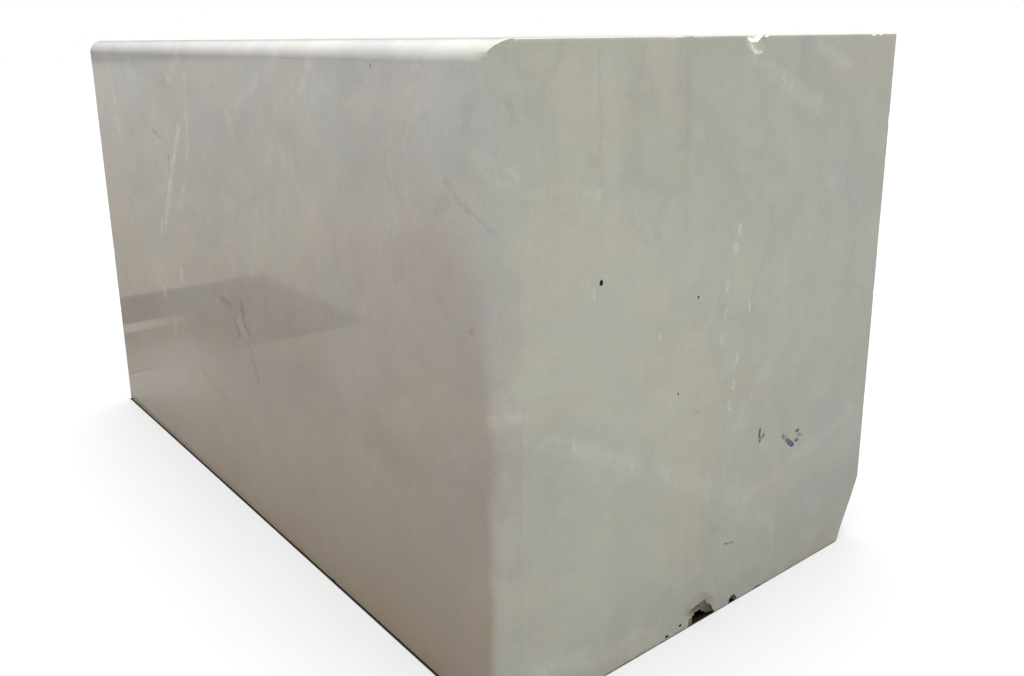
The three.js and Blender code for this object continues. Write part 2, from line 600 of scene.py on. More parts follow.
@dataclass
class EdgeChips:
    """Small chips along the sawn edges: closed lumps set out along lines by Geometry Nodes.

    Attributes:
        edges: Each edge as its two ends.
        spacing: The distance between chips.
        shortest: The least length of a chip along its edge.
        longest: The greatest.
        deepest: How deep the largest bites, measured across the edge.
        seed: Fixes the random sizes and places.
    """

    edges: list[tuple[Vector, Vector]]
    spacing: float = 105 * MM
    shortest: float = 5 * MM
    longest: float = 46 * MM
    deepest: float = 15 * MM
    seed: int = 7

    def tree(self) -> bpy.types.NodeTree:
        """Builds the node tree that turns edge lines into chips.

        Returns:
            The tree.
        """
        tree = bpy.data.node_groups.new("edge_chips", "GeometryNodeTree")
        face = tree.interface
        face.new_socket("Geometry", in_out="INPUT", socket_type="NodeSocketGeometry")
        for name in ("Spacing", "Shortest", "Longest", "Deepest"):
            face.new_socket(name, in_out="INPUT", socket_type="NodeSocketFloat")
        face.new_socket("Seed", in_out="INPUT", socket_type="NodeSocketInt")
        face.new_socket("Stone", in_out="INPUT", socket_type="NodeSocketMaterial")
        face.new_socket("Geometry", in_out="OUTPUT", socket_type="NodeSocketGeometry")
        nodes = Wiring(tree)
        given = nodes.add("NodeGroupInput").outputs
        lines = nodes.add("GeometryNodeMeshToCurve", Mesh=given["Geometry"])
        spots = nodes.add(
            "GeometryNodeCurveToPoints", {"mode": "LENGTH"}, Curve=lines.outputs[0], Length=given["Spacing"]
        )
        shift = nodes.chance(-0.42, 0.42, given["Seed"])
        jump = nodes.math("MULTIPLY", shift, given["Spacing"])
        along = nodes.vector("SCALE", spots.outputs["Tangent"], Scale=jump)
        spread = nodes.add("GeometryNodeSetPosition", Geometry=spots.outputs["Points"], Offset=along)
        # A cube of a chance makes most chips small and a few long.
        luck = nodes.chance(0.0, 1.0, nodes.math("ADD", given["Seed"], 1.0))
        share = nodes.math("POWER", luck, 3.0)
        long = nodes.blend(given["Shortest"], given["Longest"], share)
        slim = nodes.chance(0.45, 1.0, nodes.math("ADD", given["Seed"], 2.0))
        deep = nodes.math("MULTIPLY", nodes.blend(given["Shortest"], given["Deepest"], share), slim)
        size = nodes.add("ShaderNodeCombineXYZ", X=long, Y=deep, Z=deep)
        ball = nodes.add("GeometryNodeMeshIcoSphere", Radius=0.5, Subdivisions=3)
        turn = nodes.add(
            "FunctionNodeAlignRotationToVector", {"axis": "X"}, Vector=spots.outputs["Tangent"]
        )
        placed = nodes.add(
            "GeometryNodeInstanceOnPoints",
            Points=spread.outputs[0],
            Instance=ball.outputs["Mesh"],
            Rotation=turn.outputs[0],
            Scale=size.outputs[0],
        )
        real = nodes.add("GeometryNodeRealizeInstances", Geometry=placed.outputs[0])
        grain = nodes.add("ShaderNodeTexNoise", Scale=90.0, Detail=3.0, Roughness=0.6)
        wander = nodes.vector("SUBTRACT", grain.outputs["Color"], (0.5, 0.5, 0.5))
        push = nodes.vector("SCALE", wander, Scale=7 * MM)
        rough = nodes.add("GeometryNodeSetPosition", Geometry=real.outputs[0], Offset=push)
        dressed = nodes.add("GeometryNodeSetMaterial", Geometry=rough.outputs[0], Material=given["Stone"])
        nodes.add("NodeGroupOutput", Geometry=dressed.outputs[0])
        return tree

    def cutter(self, stone: bpy.types.Material) -> bpy.types.Object:
        """Sets chips out along every edge.

        Args:
            stone: The material that the chips carry.

        Returns:
            All the chips as one plain mesh.
        """
        points = [end for edge in self.edges for end in edge]
        pairs = [(2 * i, 2 * i + 1) for i in range(len(self.edges))]
        mesh = bpy.data.meshes.new("edge_chips")
        mesh.from_pydata([tuple(p) for p in points], pairs, [])
        made = bpy.data.objects.new("edge_chips", mesh)
        bpy.context.scene.collection.objects.link(made)
        chips = made.modifiers.new("chips", "NODES")
        chips.node_group = self.tree()
        Inputs(chips).set(
            Spacing=self.spacing,
            Shortest=self.shortest,
            Longest=self.longest,
            Deepest=self.deepest,
            Seed=self.seed,
            Stone=stone,
        )
        settle(made)
        return made


# --------------------------------------------------------------------------------------
# Nodes
# --------------------------------------------------------------------------------------


class Wiring:
    """Adds nodes to one tree and joins them, so that a recipe reads as a list of steps."""

    def __init__(self, tree: bpy.types.NodeTree) -> None:
        """Keeps the tree that nodes go into."""
        self.tree = tree
        self.count = 0

    def add(self, kind: str, settings: dict[str, object] | None = None, **inputs: object) -> bpy.types.Node:
        """Adds a node.

        Args:
            kind: The node's type.
            settings: Its properties.
            inputs: Its inputs by name, with _ for a space: a socket to join, or a value.

        Returns:
            The node.
        """
        node = self.tree.nodes.new(kind)
        node.location = (190 * (self.count % 12), -260 * (self.count // 12))
        self.count += 1
        for name, value in (settings or {}).items():
            setattr(node, name, value)
        for name, value in inputs.items():
            self.feed(node.inputs[name.replace("_", " ")], value)
        return node

    def feed(self, socket: bpy.types.NodeSocket, value: object) -> None:
        """Joins a socket to another, or sets its value.

        Args:
            socket: The input to feed.
            value: An output socket, or a plain value.
        """
        if isinstance(value, bpy.types.NodeSocket):
            self.tree.links.new(value, socket)
        elif isinstance(value, tuple) and socket.type == "RGBA":
            socket.default_value = (*value[:3], 1.0)
        else:
            socket.default_value = value

    def math(self, operation: str, *values: object) -> bpy.types.NodeSocket:
        """Adds one arithmetic step on numbers.

        Args:
            operation: The step's name.
            values: What it works on, as sockets or numbers.

        Returns:
            Its result.
        """
        node = self.add("ShaderNodeMath", {"operation": operation})
        for socket, value in zip(node.inputs, values, strict=False):
            self.feed(socket, value)
        return node.outputs[0]

    def vector(self, operation: str, *values: object, **named: object) -> bpy.types.NodeSocket:
        """Adds one arithmetic step on vectors.

        Args:
            operation: The step's name.
            values: What it works on, as sockets or vectors.
            named: Inputs that go by a name, such as Scale.

        Returns:
            Its result, a number where the step gives one.
        """
        node = self.add("ShaderNodeVectorMath", {"operation": operation}, **named)
        for socket, value in zip(node.inputs, values, strict=False):
            self.feed(socket, value)
        plain = operation in {"DOT_PRODUCT", "LENGTH", "DISTANCE"}
        return node.outputs["Value" if plain else "Vector"]

    def blend(self, low: object, high: object, share: object) -> bpy.types.NodeSocket:
        """Adds a mix of two numbers.

        Args:
            low: The number at a share of 0.
            high: The number at a share of 1.
            share: How far it goes from one to the other.

        Returns:
            The mixed number.
        """
        node = self.add("ShaderNodeMix", {"data_type": "FLOAT"})
        for place, value in ((0, share), (2, low), (3, high)):
            self.feed(node.inputs[place], value)
        return node.outputs[0]

    def colour(self, below: object, above: object, share: object, how: str = "MIX") -> bpy.types.NodeSocket:
        """A colour laid over another.

        Args:
            below: The colour underneath.
            above: The colour on top.
            share: How much of the one on top shows.
            how: The blend's name.

        Returns:
            The mixed colour.
        """
        node = self.add("ShaderNodeMix", {"data_type": "RGBA", "blend_type": how})
        for place, value in ((0, share), (6, below), (7, above)):
            self.feed(node.inputs[place], value)
        return node.outputs[2]

    def ease(
        self, value: object, start: object, end: object, low: object = 0.0, high: object = 1.0
    ) -> bpy.types.NodeSocket:
        """Adds a smooth rise.

        Args:
            value: What is read.
            start: Where the rise starts.
            end: Where it ends, which may lie below its start.
            low: The result up to the start.
            high: The result from the end on.

        Returns:
            The result.
        """
        node = self.add(
            "ShaderNodeMapRange",
            {"interpolation_type": "SMOOTHSTEP", "clamp": False},
            Value=value,
            From_Min=start,
            From_Max=end,
            To_Min=low,
            To_Max=high,
        )
        return node.outputs[0]

    def cloud(self, point: object, scale: float, detail: float, rough: float = 0.55) -> bpy.types.Node:
        """Adds a noise texture with so many features to a metre, and returns its node."""
        return self.add("ShaderNodeTexNoise", Vector=point, Scale=scale, Detail=detail, Roughness=rough)

    def chance(self, low: float, high: float, seed: object) -> bpy.types.NodeSocket:
        """Adds a random number for each point of a geometry tree.

        Args:
            low: The least number.
            high: The greatest.
            seed: Tells one run of numbers from another.

        Returns:
            The number.
        """
        node = self.add("FunctionNodeRandomValue", {"data_type": "FLOAT"})
        by_name = {socket.name: socket for socket in node.inputs if socket.enabled}
        for name, value in (("Min", low), ("Max", high), ("Seed", seed)):
            self.feed(by_name[name], value)
        return next(socket for socket in node.outputs if socket.enabled)


@dataclass(frozen=True)
class Socket:
    """One socket of a shader node group.

    Attributes:
        name: What it is called.
        kind: Its type.
        value: Its starting value.
    """

    name: str
    kind: str = "Float"
    value: object = 0.0


def shader_group(
    name: str,
    inputs: Iterable[Socket],
    outputs: Iterable[Socket],
    recipe: Callable[[Wiring, bpy.types.NodeInputs], dict[str, object]],
) -> bpy.types.NodeTree:
    """Builds a shader node group, or returns it if it is there already.

    Args:
        name: The group's name.
        inputs: Its input sockets.
        outputs: Its output sockets.
        recipe: Adds the nodes, and returns what feeds each output.

    Returns:
        The group.
    """
    if name in bpy.data.node_groups:
        return bpy.data.node_groups[name]
    tree = bpy.data.node_groups.new(name, "ShaderNodeTree")
    for socket in inputs:
        made = tree.interface.new_socket(socket.name, in_out="INPUT", socket_type=f"NodeSocket{socket.kind}")
        made.default_value = socket.value
    for socket in outputs:
        tree.interface.new_socket(socket.name, in_out="OUTPUT", socket_type=f"NodeSocket{socket.kind}")
    nodes = Wiring(tree)
    given = nodes.add("NodeGroupInput").outputs
    found = recipe(nodes, given)
    out = nodes.add("NodeGroupOutput")
    for label, source in found.items():
        nodes.feed(out.inputs[label], source)
    return tree


def marble_body() -> bpy.types.NodeTree:
    """The stone all through: soft clouds, drifts of warmer and greener tone, ghost veins, grain.

    Returns:
        The shader node group.
    """

    def recipe(nodes: Wiring, given: bpy.types.NodeInputs) -> dict[str, object]:
        """Adds the nodes of the stone's colour.

        Args:
            nodes: Adds the nodes.
            given: The group's inputs.

        Returns:
            What feeds each output.
        """
        point = given["Point"]
        drift = nodes.cloud(point, 0.8, 2.0)
        bent = nodes.vector("MULTIPLY_ADD", drift.outputs["Color"], (0.5, 0.5, 0.5), point)
        broad = nodes.cloud(bent, 1.9, 5.0, 0.6)
        small = nodes.cloud(nodes.vector("ADD", bent, (4.1, 2.7, 9.3)), 8.0, 5.0, 0.7)
        clouds = nodes.blend(broad.outputs[0], small.outputs[0], 0.5)
        tone = nodes.ease(clouds, 0.38, 0.62)
        colour = nodes.colour(given["Deep Tone"], given["Clear Tone"], tone)
        patch = nodes.cloud(nodes.vector("ADD", bent, (11.3, 5.2, 1.9)), 3.3, 5.0, 0.65)
        warm = nodes.ease(patch.outputs[0], 0.48, 0.64)
        colour = nodes.colour(colour, given["Warm Tone"], nodes.math("MULTIPLY", warm, given["Warmth"]))
        cool = nodes.ease(patch.outputs[0], 0.50, 0.36)
        colour = nodes.colour(colour, given["Cool Tone"], nodes.math("MULTIPLY", cool, given["Warmth"]))
        ghost = nodes.cloud(nodes.vector("ADD", bent, (2.9, 8.8, 4.4)), 1.25, 5.0, 0.55)
        there = nodes.math("MULTIPLY", nodes.ease(small.outputs[0], 0.42, 0.60), given["Veins"])
        pale = nodes.math("ABSOLUTE", nodes.math("SUBTRACT", ghost.outputs[0], 0.5))
        vein = nodes.math("MULTIPLY", nodes.ease(pale, 0.026, 0.0), there)
        colour = nodes.colour(colour, given["Vein Tone"], vein)
        grey = nodes.math("ABSOLUTE", nodes.math("SUBTRACT", ghost.outputs[0], 0.43))
        wisp = nodes.math("MULTIPLY", nodes.ease(grey, 0.022, 0.0), given["Veins"])
        colour = nodes.colour(colour, given["Wisp Tone"], wisp)
        grain = nodes.cloud(point, 150.0, 3.0, 0.7)
        speck = nodes.ease(grain.outputs[0], 0.3, 0.7, 0.965, 1.035)
        shade = nodes.add("ShaderNodeCombineColor", Red=speck, Green=speck, Blue=speck)
        colour = nodes.colour(colour, shade.outputs[0], 1.0, "MULTIPLY")
        return {"Colour": colour, "Grain": grain.outputs[0], "Fine Cloud": small.outputs[0]}

    return shader_group(
        "marble_body",
        [
            Socket("Point", "Vector", (0.0, 0.0, 0.0)),
            Socket("Deep Tone", "Color", (0.5, 0.5, 0.5, 1.0)),
            Socket("Clear Tone", "Color", (0.6, 0.6, 0.6, 1.0)),
            Socket("Warm Tone", "Color", (0.6, 0.6, 0.5, 1.0)),
            Socket("Cool Tone", "Color", (0.5, 0.5, 0.5, 1.0)),
            Socket("Vein Tone", "Color", (0.7, 0.7, 0.7, 1.0)),
            Socket("Wisp Tone", "Color", (0.4, 0.4, 0.4, 1.0)),
            Socket("Warmth", value=0.5),
            Socket("Veins", value=0.3),
        ],
        [Socket("Colour", "Color"), Socket("Grain"), Socket("Fine Cloud")],
        recipe,
    )


def streak() -> bpy.types.NodeTree:
    """One soft-edged stroke: full strength along its middle and nothing beyond its feather.

    Returns:
        The shader node group.
    """

    def recipe(nodes: Wiring, given: bpy.types.NodeInputs) -> dict[str, object]:
        """Adds the nodes that measure the distance from the stroke.

        Args:
            nodes: Adds the nodes.
            given: The group's inputs.

        Returns:
            What feeds each output.
        """
        away = nodes.vector("SUBTRACT", given["Point"], given["Start"])
        along = nodes.vector("DOT_PRODUCT", away, given["Run"])
        part = nodes.add("ShaderNodeClamp", Value=nodes.math("MULTIPLY", along, given["Shortness"]))
        gap = nodes.vector("DISTANCE", away, nodes.vector("SCALE", given["Run"], Scale=part.outputs[0]))
        return {"Mask": nodes.ease(gap, given["Outer"], given["Inner"], 0.0, given["Strength"])}

    return shader_group(
        "stone_streak",
        [
            Socket("Point", "Vector", (0.0, 0.0, 0.0)),
            Socket("Start", "Vector", (0.0, 0.0, 0.0)),
            Socket("Run", "Vector", (0.0, 0.0, 0.0)),
            Socket("Shortness", value=1.0),
            Socket("Inner", value=0.01),
            Socket("Outer", value=0.02),
            Socket("Strength", value=1.0),
        ],
        [Socket("Mask")],
        recipe,
    )


def flecks() -> bpy.types.NodeTree:
    """Sparse, short upright flecks of clear calcite.

    Returns:
        The shader node group.
    """

    def recipe(nodes: Wiring, given: bpy.types.NodeInputs) -> dict[str, object]:
        """Adds the nodes that scatter the flecks.

        Args:
            nodes: Adds the nodes.
            given: The group's inputs.

        Returns:
            What feeds each output.
        """
        squeezed = nodes.vector("MULTIPLY", given["Point"], (1.0, 1.0, 0.32))
        spots = nodes.add("ShaderNodeTexVoronoi", Vector=squeezed, Scale=given["Crowding"])
        chosen = nodes.add("ShaderNodeSeparateColor", Color=spots.outputs["Color"])
        size = nodes.math("MULTIPLY", nodes.math("POWER", chosen.outputs[0], 3.0), given["Size"])
        inside = nodes.math("SUBTRACT", size, spots.outputs["Distance"])
        mask = nodes.ease(inside, 0.0, 0.05)
        kept = nodes.math("LESS_THAN", chosen.outputs[1], given["Share"])
        return {"Mask": nodes.math("MULTIPLY", mask, kept)}

    return shader_group(
        "calcite_flecks",
        [
            Socket("Point", "Vector", (0.0, 0.0, 0.0)),
            Socket("Crowding", value=20.0),
            Socket("Size", value=0.3),
            Socket("Share", value=0.3),
        ],
        [Socket("Mask")],
        recipe,
    )


def saw_marks() -> bpy.types.NodeTree:
    """The straight, faint lines that a wire saw leaves, running along one direction.

    Returns:
        The shader node group.
    """

    def recipe(nodes: Wiring, given: bpy.types.NodeInputs) -> dict[str, object]:
        """Adds the nodes that draw the lines.

        Args:
            nodes: Adds the nodes.
            given: The group's inputs.

        Returns:
            What feeds each output.
        """
        flat = nodes.vector("MULTIPLY", given["Point"], given["Squeeze"])
        wide = nodes.cloud(flat, 16.0, 4.0, 0.7)
        close = nodes.cloud(nodes.vector("ADD", flat, (3.3, 7.1, 5.9)), 85.0, 3.0, 0.7)
        both = nodes.blend(wide.outputs[0], close.outputs[0], 0.45)
        return {"Line": nodes.ease(both, 0.3, 0.7)}

    return shader_group(
        "saw_marks",
        [Socket("Point", "Vector", (0.0, 0.0, 0.0)), Socket("Squeeze", "Vector", (1.0, 1.0, 0.02))],
        [Socket("Line")],
        recipe,
    )


def ground_tone_rise() -> bpy.types.NodeTree:
    """A tone that rises unevenly from the ground, darker towards the bottom; some finishes use it for painted
    shade and a painted reflection of the ground.

    Returns:
        The shader node group.
    """

    def recipe(nodes: Wiring, given: bpy.types.NodeInputs) -> dict[str, object]:
        """Adds the nodes that fade the tone with height.

        Args:
            nodes: Adds the nodes.
            given: The group's inputs.

        Returns:
            What feeds each output.
        """
        height = nodes.add("ShaderNodeSeparateXYZ", Vector=given["Point"]).outputs["Z"]
        ragged = nodes.cloud(given["Point"], 2.4, 5.0, 0.6)
        offset = nodes.math("MULTIPLY", nodes.math("SUBTRACT", ragged.outputs[0], 0.5), given["Raggedness"])
        level = nodes.math("ADD", height, offset)
        sunk = nodes.math("SUBTRACT", 1.0, nodes.math("DIVIDE", level, given["Reach"]))
        share = nodes.add("ShaderNodeClamp", Value=sunk).outputs[0]
        return {"Mask": nodes.math("POWER", share, given["Haste"])}

    return shader_group(
        "ground_tone_rise",
        [
            Socket("Point", "Vector", (0.0, 0.0, 0.0)),
            Socket("Reach", value=1.0),
            Socket("Raggedness", value=0.6),
            Socket("Haste", value=1.0),
        ],
        [Socket("Mask")],
        recipe,
    )


# --------------------------------------------------------------------------------------
# Marks on the two seen faces
# --------------------------------------------------------------------------------------


class Tone(Enum):
    """What a mark is made of, as the colour that it takes the stone towards."""

    PALE = (0.86, 0.84, 0.76)
    GREY = (0.30, 0.29, 0.27)
    RUST = (0.235, 0.175, 0.135)
    DARK = (0.06, 0.05, 0.045)
    PAINT = (0.012, 0.045, 0.105)
    FRESH_PAINT = (0.015, 0.10, 0.26)
    DUSK = (0.36, 0.285, 0.305)
    # Painted shade rather than a tone of the stone.
    MIST = (0.42, 0.465, 0.49)
    CREAM = (0.73, 0.69, 0.54)


@dataclass(frozen=True)
class Mark:
    """A vein, blot or fleck on one face, as a chain of soft strokes.

    Attributes:
        places: Its points, each as metres from the near upright edge and metres up.
        half_width: Half its full-strength width, in millimetres.
        feather: How far its edge fades, in millimetres.
        strength: How much of its tone it takes.
        tone: What it is made of.
    """

    places: tuple[Place, ...]
    half_width: float
    feather: float
    strength: float
    tone: Tone

    def strokes(self) -> list[tuple[Place, Place]]:
        """Its chain as pairs of ends; a single place is a stroke of no length."""
        ends = self.places if len(self.places) > 1 else self.places * 2
        return list(zip(ends[:-1], ends[1:], strict=True))


@dataclass(frozen=True)
class Scatter:
    """Like marks strewn over a patch of one face.

    Attributes:
        low: The patch's corner nearest the near upright edge and the ground.
        high: Its opposite corner.
        count: How many marks there are.
        run: How far each one goes, across and up.
        half_width: Half its full-strength width, in millimetres.
        feather: How far its edge fades, in millimetres.
        strength: How much of its tone it takes.
        tone: What it is made of.
        seed: Tells one scatter from another.
    """

    low: Place
    high: Place
    count: int
    run: Place
    half_width: float
    feather: float
    strength: float
    tone: Tone
    seed: int

    SPREAD: ClassVar[float] = 0.3

    def marks(self) -> tuple[Mark, ...]:
        """Strews the marks, each a little longer or fainter than the last.

        Returns:
            The marks, in even steps up the patch.
        """
        draw = random.Random(self.seed)
        strewn = []
        for index in range(self.count):
            across = draw.uniform(self.low[0], self.high[0])
            share = (index + draw.random()) / self.count
            up = self.low[1] + share * (self.high[1] - self.low[1])
            size = draw.uniform(1.0 - self.SPREAD, 1.0 + self.SPREAD)
            end = (across + self.run[0] * size, up + self.run[1] * size)
            strength = self.strength * draw.uniform(1.0 - self.SPREAD, 1.0)
            strewn.append(Mark(((across, up), end), self.half_width, self.feather, strength, self.tone))
        return tuple(strewn)


@dataclass(frozen=True)
class Crack:
    """A ragged, filled crack, as short curls strung along a wavering line.

    Attributes:
        top: Its upper end.
        foot: Its lower end.
        curls: How many curls it has.
        stray: How far a curl's ends lie off the line.
        seed: Tells one crack from another.
    """

    top: Place
    foot: Place
    curls: int
    stray: float
    seed: int

    STEPS: ClassVar[int] = 3
    FILLED: ClassVar[float] = 0.8
    FADED: ClassVar[float] = 0.4
    HALF_WIDTH: ClassVar[float] = 7
    FEATHER: ClassVar[float] = 10
    STRENGTH: ClassVar[float] = 0.46

    def marks(self) -> tuple[Mark, ...]:
        """Strings the curls from the top to the foot, thinner and fainter on the way.

        Returns:
            The marks.
        """
        draw = random.Random(self.seed)
        strung = []
        for curl in range(self.curls):
            places = []
            for step in range(self.STEPS):
                share = (curl + self.FILLED * step / (self.STEPS - 1)) / self.curls
                across = self.top[0] + share * (self.foot[0] - self.top[0])
                up = self.top[1] + share * (self.foot[1] - self.top[1])
                places.append((across + draw.uniform(-self.stray, self.stray), up))
            left = 1.0 - self.FADED * curl / self.curls
            widths = (self.HALF_WIDTH * left, self.FEATHER * left)
            strung.append(Mark(tuple(places), *widths, self.STRENGTH * left, Tone.RUST))
        return tuple(strung)


FRONT_MARKS = (
    # The shallow wedge under the top edge, and a pale streak beside it.
    Mark(((2.10, 1.43), (1.80, 1.37)), 12, 24, 0.20, Tone.GREY),
    Mark(((1.65, 1.45), (1.75, 1.38)), 9, 20, 0.20, Tone.PALE),
    # The long pale vein that leans towards the far end, a fainter one and a rusty hook by it.
    Mark(((1.70, 1.22), (1.80, 1.08), (1.93, 0.85)), 5, 14, 0.31, Tone.PALE),
    Mark(((1.60, 1.40), (1.63, 1.15), (1.75, 0.95)), 4, 14, 0.17, Tone.PALE),
    Mark(((1.82, 1.12), (1.83, 1.05)), 3, 6, 0.40, Tone.DARK),
    Mark(((1.98, 1.20), (1.88, 1.18)), 4, 8, 0.34, Tone.RUST),
    # Pale bands that lean towards the near edge, one with a grey border.
    Mark(((0.95, 1.45), (1.20, 1.31)), 9, 28, 0.17, Tone.PALE),
    Mark(((1.05, 1.37), (1.20, 1.30)), 4, 8, 0.20, Tone.GREY),
    Mark(((1.28, 1.28), (1.26, 1.22)), 8, 18, 0.14, Tone.PALE),
    Mark(((0.74, 1.45), (0.80, 1.38)), 7, 16, 0.22, Tone.PALE),
    Mark(((0.27, 1.45), (0.30, 1.40)), 4, 15, 0.19, Tone.PALE),
    # By the near edge: a grey patch, and a slanting line with a spot below it.
    Mark(((0.09, 1.38), (0.11, 1.25)), 10, 18, 0.20, Tone.GREY),
    Mark(((0.18, 1.22), (0.10, 1.18), (0.03, 1.14)), 3, 6, 0.32, Tone.GREY),
    Mark(((0.21, 1.15), (0.17, 1.18)), 9, 15, 0.20, Tone.GREY),
    Mark(((0.33, 1.31), (0.25, 1.32)), 14, 26, 0.14, Tone.GREY),
    Mark(((0.93, 1.08), (0.94, 0.98)), 2, 6, 0.20, Tone.GREY),
    # Dark specks.
    Mark(((1.38, 1.37),), 5, 7, 0.32, Tone.DARK),
    Mark(((0.45, 1.44),), 2, 3, 0.75, Tone.DARK),
    Mark(((0.10, 0.92),), 3, 6, 0.26, Tone.DARK),
    # The curl that leaves the crack's top, and the pale stone beside the crack.
    Mark(((1.45, 0.70), (1.38, 0.68)), 5, 9, 0.36, Tone.RUST),
    Mark(((1.35, 0.64), (1.33, 0.60)), 7, 9, 0.38, Tone.RUST),
    Mark(((1.32, 0.65), (1.21, 0.57)), 6, 14, 0.12, Tone.PALE),
    # Dark slanting lines in the lower half.
    Mark(((1.70, 0.38), (1.45, 0.33)), 4, 9, 0.24, Tone.RUST),
    Mark(((1.15, 0.34), (1.05, 0.15)), 5, 9, 0.34, Tone.GREY),
    Mark(((0.55, 0.55), (0.40, 0.50)), 20, 50, 0.10, Tone.RUST),
    *Crack((1.30, 0.71), (1.20, 0.47), 5, 0.02, 3).marks(),
    # Upright streaks by the far end, short cream flecks, and small grey ticks.
    *Scatter((2.22, 1.05), (2.40, 1.40), 3, (0.02, 0.07), 8, 16, 0.24, Tone.PALE, 5).marks(),
    *Scatter((2.20, 1.25), (2.36, 1.40), 2, (0.03, 0.06), 4, 8, 0.30, Tone.GREY, 6).marks(),
    *Scatter((1.80, 0.45), (2.20, 0.85), 4, (-0.01, 0.05), 4, 12, 0.29, Tone.PALE, 7).marks(),
    *Scatter((0.30, 0.95), (0.80, 1.35), 5, (0.01, 0.02), 3, 6, 0.30, Tone.GREY, 8).marks(),
)

FRONT_DRIFTS = (
    Mark(((0.15, 0.95), (0.90, 0.70), (1.25, 0.60)), 80, 230, 0.20, Tone.DUSK),
    Mark(((0.10, 0.85), (0.10, 0.40)), 40, 110, 0.20, Tone.DUSK),
    Mark(((1.20, 1.35), (1.75, 1.35)), 40, 160, 0.12, Tone.DUSK),
    Mark(((0.90, 1.00), (1.15, 0.90)), 40, 200, 0.12, Tone.CREAM),
)

END_MARKS = (
    # Upright lines left by the saw, and a smudge by the first.
    Mark(((0.27, 1.49), (0.27, 1.20)), 1.5, 3, 0.19, Tone.GREY),
    Mark(((0.53, 1.49), (0.55, 1.07)), 3, 10, 0.12, Tone.GREY),
    Mark(((0.25, 1.25),), 9, 20, 0.22, Tone.GREY),
    # The notch's near edge painted pale as a highlight, and the pale bands below it and by the far edge.
    Mark(((0.74, 1.49), (0.77, 1.46)), 3, 7, 0.5, Tone.PALE),
    Mark(((0.78, 1.45), (0.92, 1.38), (1.04, 1.32)), 9, 26, 0.22, Tone.PALE),
    Mark(((1.02, 1.48), (1.16, 1.42)), 5, 24, 0.18, Tone.PALE),
    # The vein that turns the near edge, and the long one below it with its arc.
    Mark(((0.06, 1.21), (0.27, 1.18)), 3, 22, 0.15, Tone.PALE),
    Mark(((0.04, 0.71), (0.35, 0.55), (0.82, 0.30)), 6, 30, 0.13, Tone.PALE),
    Mark(((0.82, 0.30), (1.08, 0.36), (1.30, 0.42)), 5, 28, 0.11, Tone.PALE),
    Mark(((0.10, 0.11), (0.46, 0.04)), 10, 34, 0.18, Tone.PALE),
    # A smudge, and the slit: a dark line of painted shade with a pale border.
    Mark(((0.60, 0.61), (0.65, 0.61)), 3, 9, 0.22, Tone.GREY),
    Mark(((0.74, 0.20), (0.79, 0.19)), 2, 5, 0.16, Tone.PALE),
    Mark(((0.75, 0.195), (0.785, 0.185)), 1.6, 3, 0.75, Tone.DARK),
    # The brown border of the crumbled hollow.
    Mark(((0.61, 0.05), (0.64, 0.07), (0.69, 0.05)), 8, 14, 0.45, Tone.RUST),
    # Blue marking paint: a small tick, and a blot.
    Mark(((0.87, 0.48), (0.88, 0.45), (0.89, 0.47)), 2.2, 2.6, 0.9, Tone.PAINT),
    Mark(((0.98, 0.43), (1.00, 0.42), (1.02, 0.40)), 6, 3, 0.92, Tone.PAINT),
    Mark(((1.00, 0.42), (1.02, 0.41)), 3.5, 4, 0.9, Tone.FRESH_PAINT),
    # Clear flecks in one upright seam and a few beside it, and the blot's spattered tail.
    *Scatter((0.69, 0.55), (0.80, 1.05), 9, (0.00, 0.02), 3, 4, 0.55, Tone.PALE, 11).marks(),
    *Scatter((0.20, 0.40), (0.60, 1.05), 4, (0.00, 0.02), 2, 4, 0.45, Tone.PALE, 12).marks(),
    *Scatter((1.03, 0.40), (1.06, 0.44), 4, (0.01, 0.00), 3, 3, 0.90, Tone.PAINT, 13).marks(),
)

END_DRIFTS = (
    Mark(((0.30, 0.95), (0.40, 0.70), (0.40, 0.35)), 90, 220, 0.16, Tone.CREAM),
    Mark(((0.60, 1.00),), 50, 140, 0.14, Tone.CREAM),
    # Painted shade: a cool, darker drift down the end face's far side.
    Mark(((0.85, 1.45), (1.20, 0.95), (1.25, 0.35)), 110, 300, 0.22, Tone.MIST),
)

NEAR_EDGE_MARKS = (
    # The two veins as they turn the near upright edge.
    Mark(((0.10, 1.30), (0.00, 1.23)), 6, 20, 0.22, Tone.PALE),
    Mark(((0.04, 0.74), (0.00, 0.74)), 5, 14, 0.20, Tone.PALE),
    # A grey patch below the lower one, a pale cloud, and a tick near the top.
    Mark(((0.03, 0.69), (0.03, 0.60)), 10, 16, 0.16, Tone.GREY),
    Mark(((0.02, 0.52), (0.01, 0.42)), 8, 26, 0.09, Tone.PALE),
    Mark(((0.01, 1.38), (0.00, 1.35)), 1.5, 3, 0.24, Tone.GREY),
)

NOTCH_MARKS = (
    # A painted highlight on the near side of the scar, and a grey patch inside it.
    Mark(((0.74, 1.49), (0.77, 1.46)), 5, 7, 0.8, Tone.PALE),
    Mark(((0.785, 1.485), (0.79, 1.475)), 3, 8, 0.22, Tone.GREY),
)

# Thin dark layers where the rim has crumbled.
RIM_MARKS = Scatter((0.61, 0.03), (0.68, 0.06), 4, (0.04, -0.005), 1.5, 4, 0.55, Tone.DARK, 17).marks()


# --------------------------------------------------------------------------------------
# Finishes
# --------------------------------------------------------------------------------------


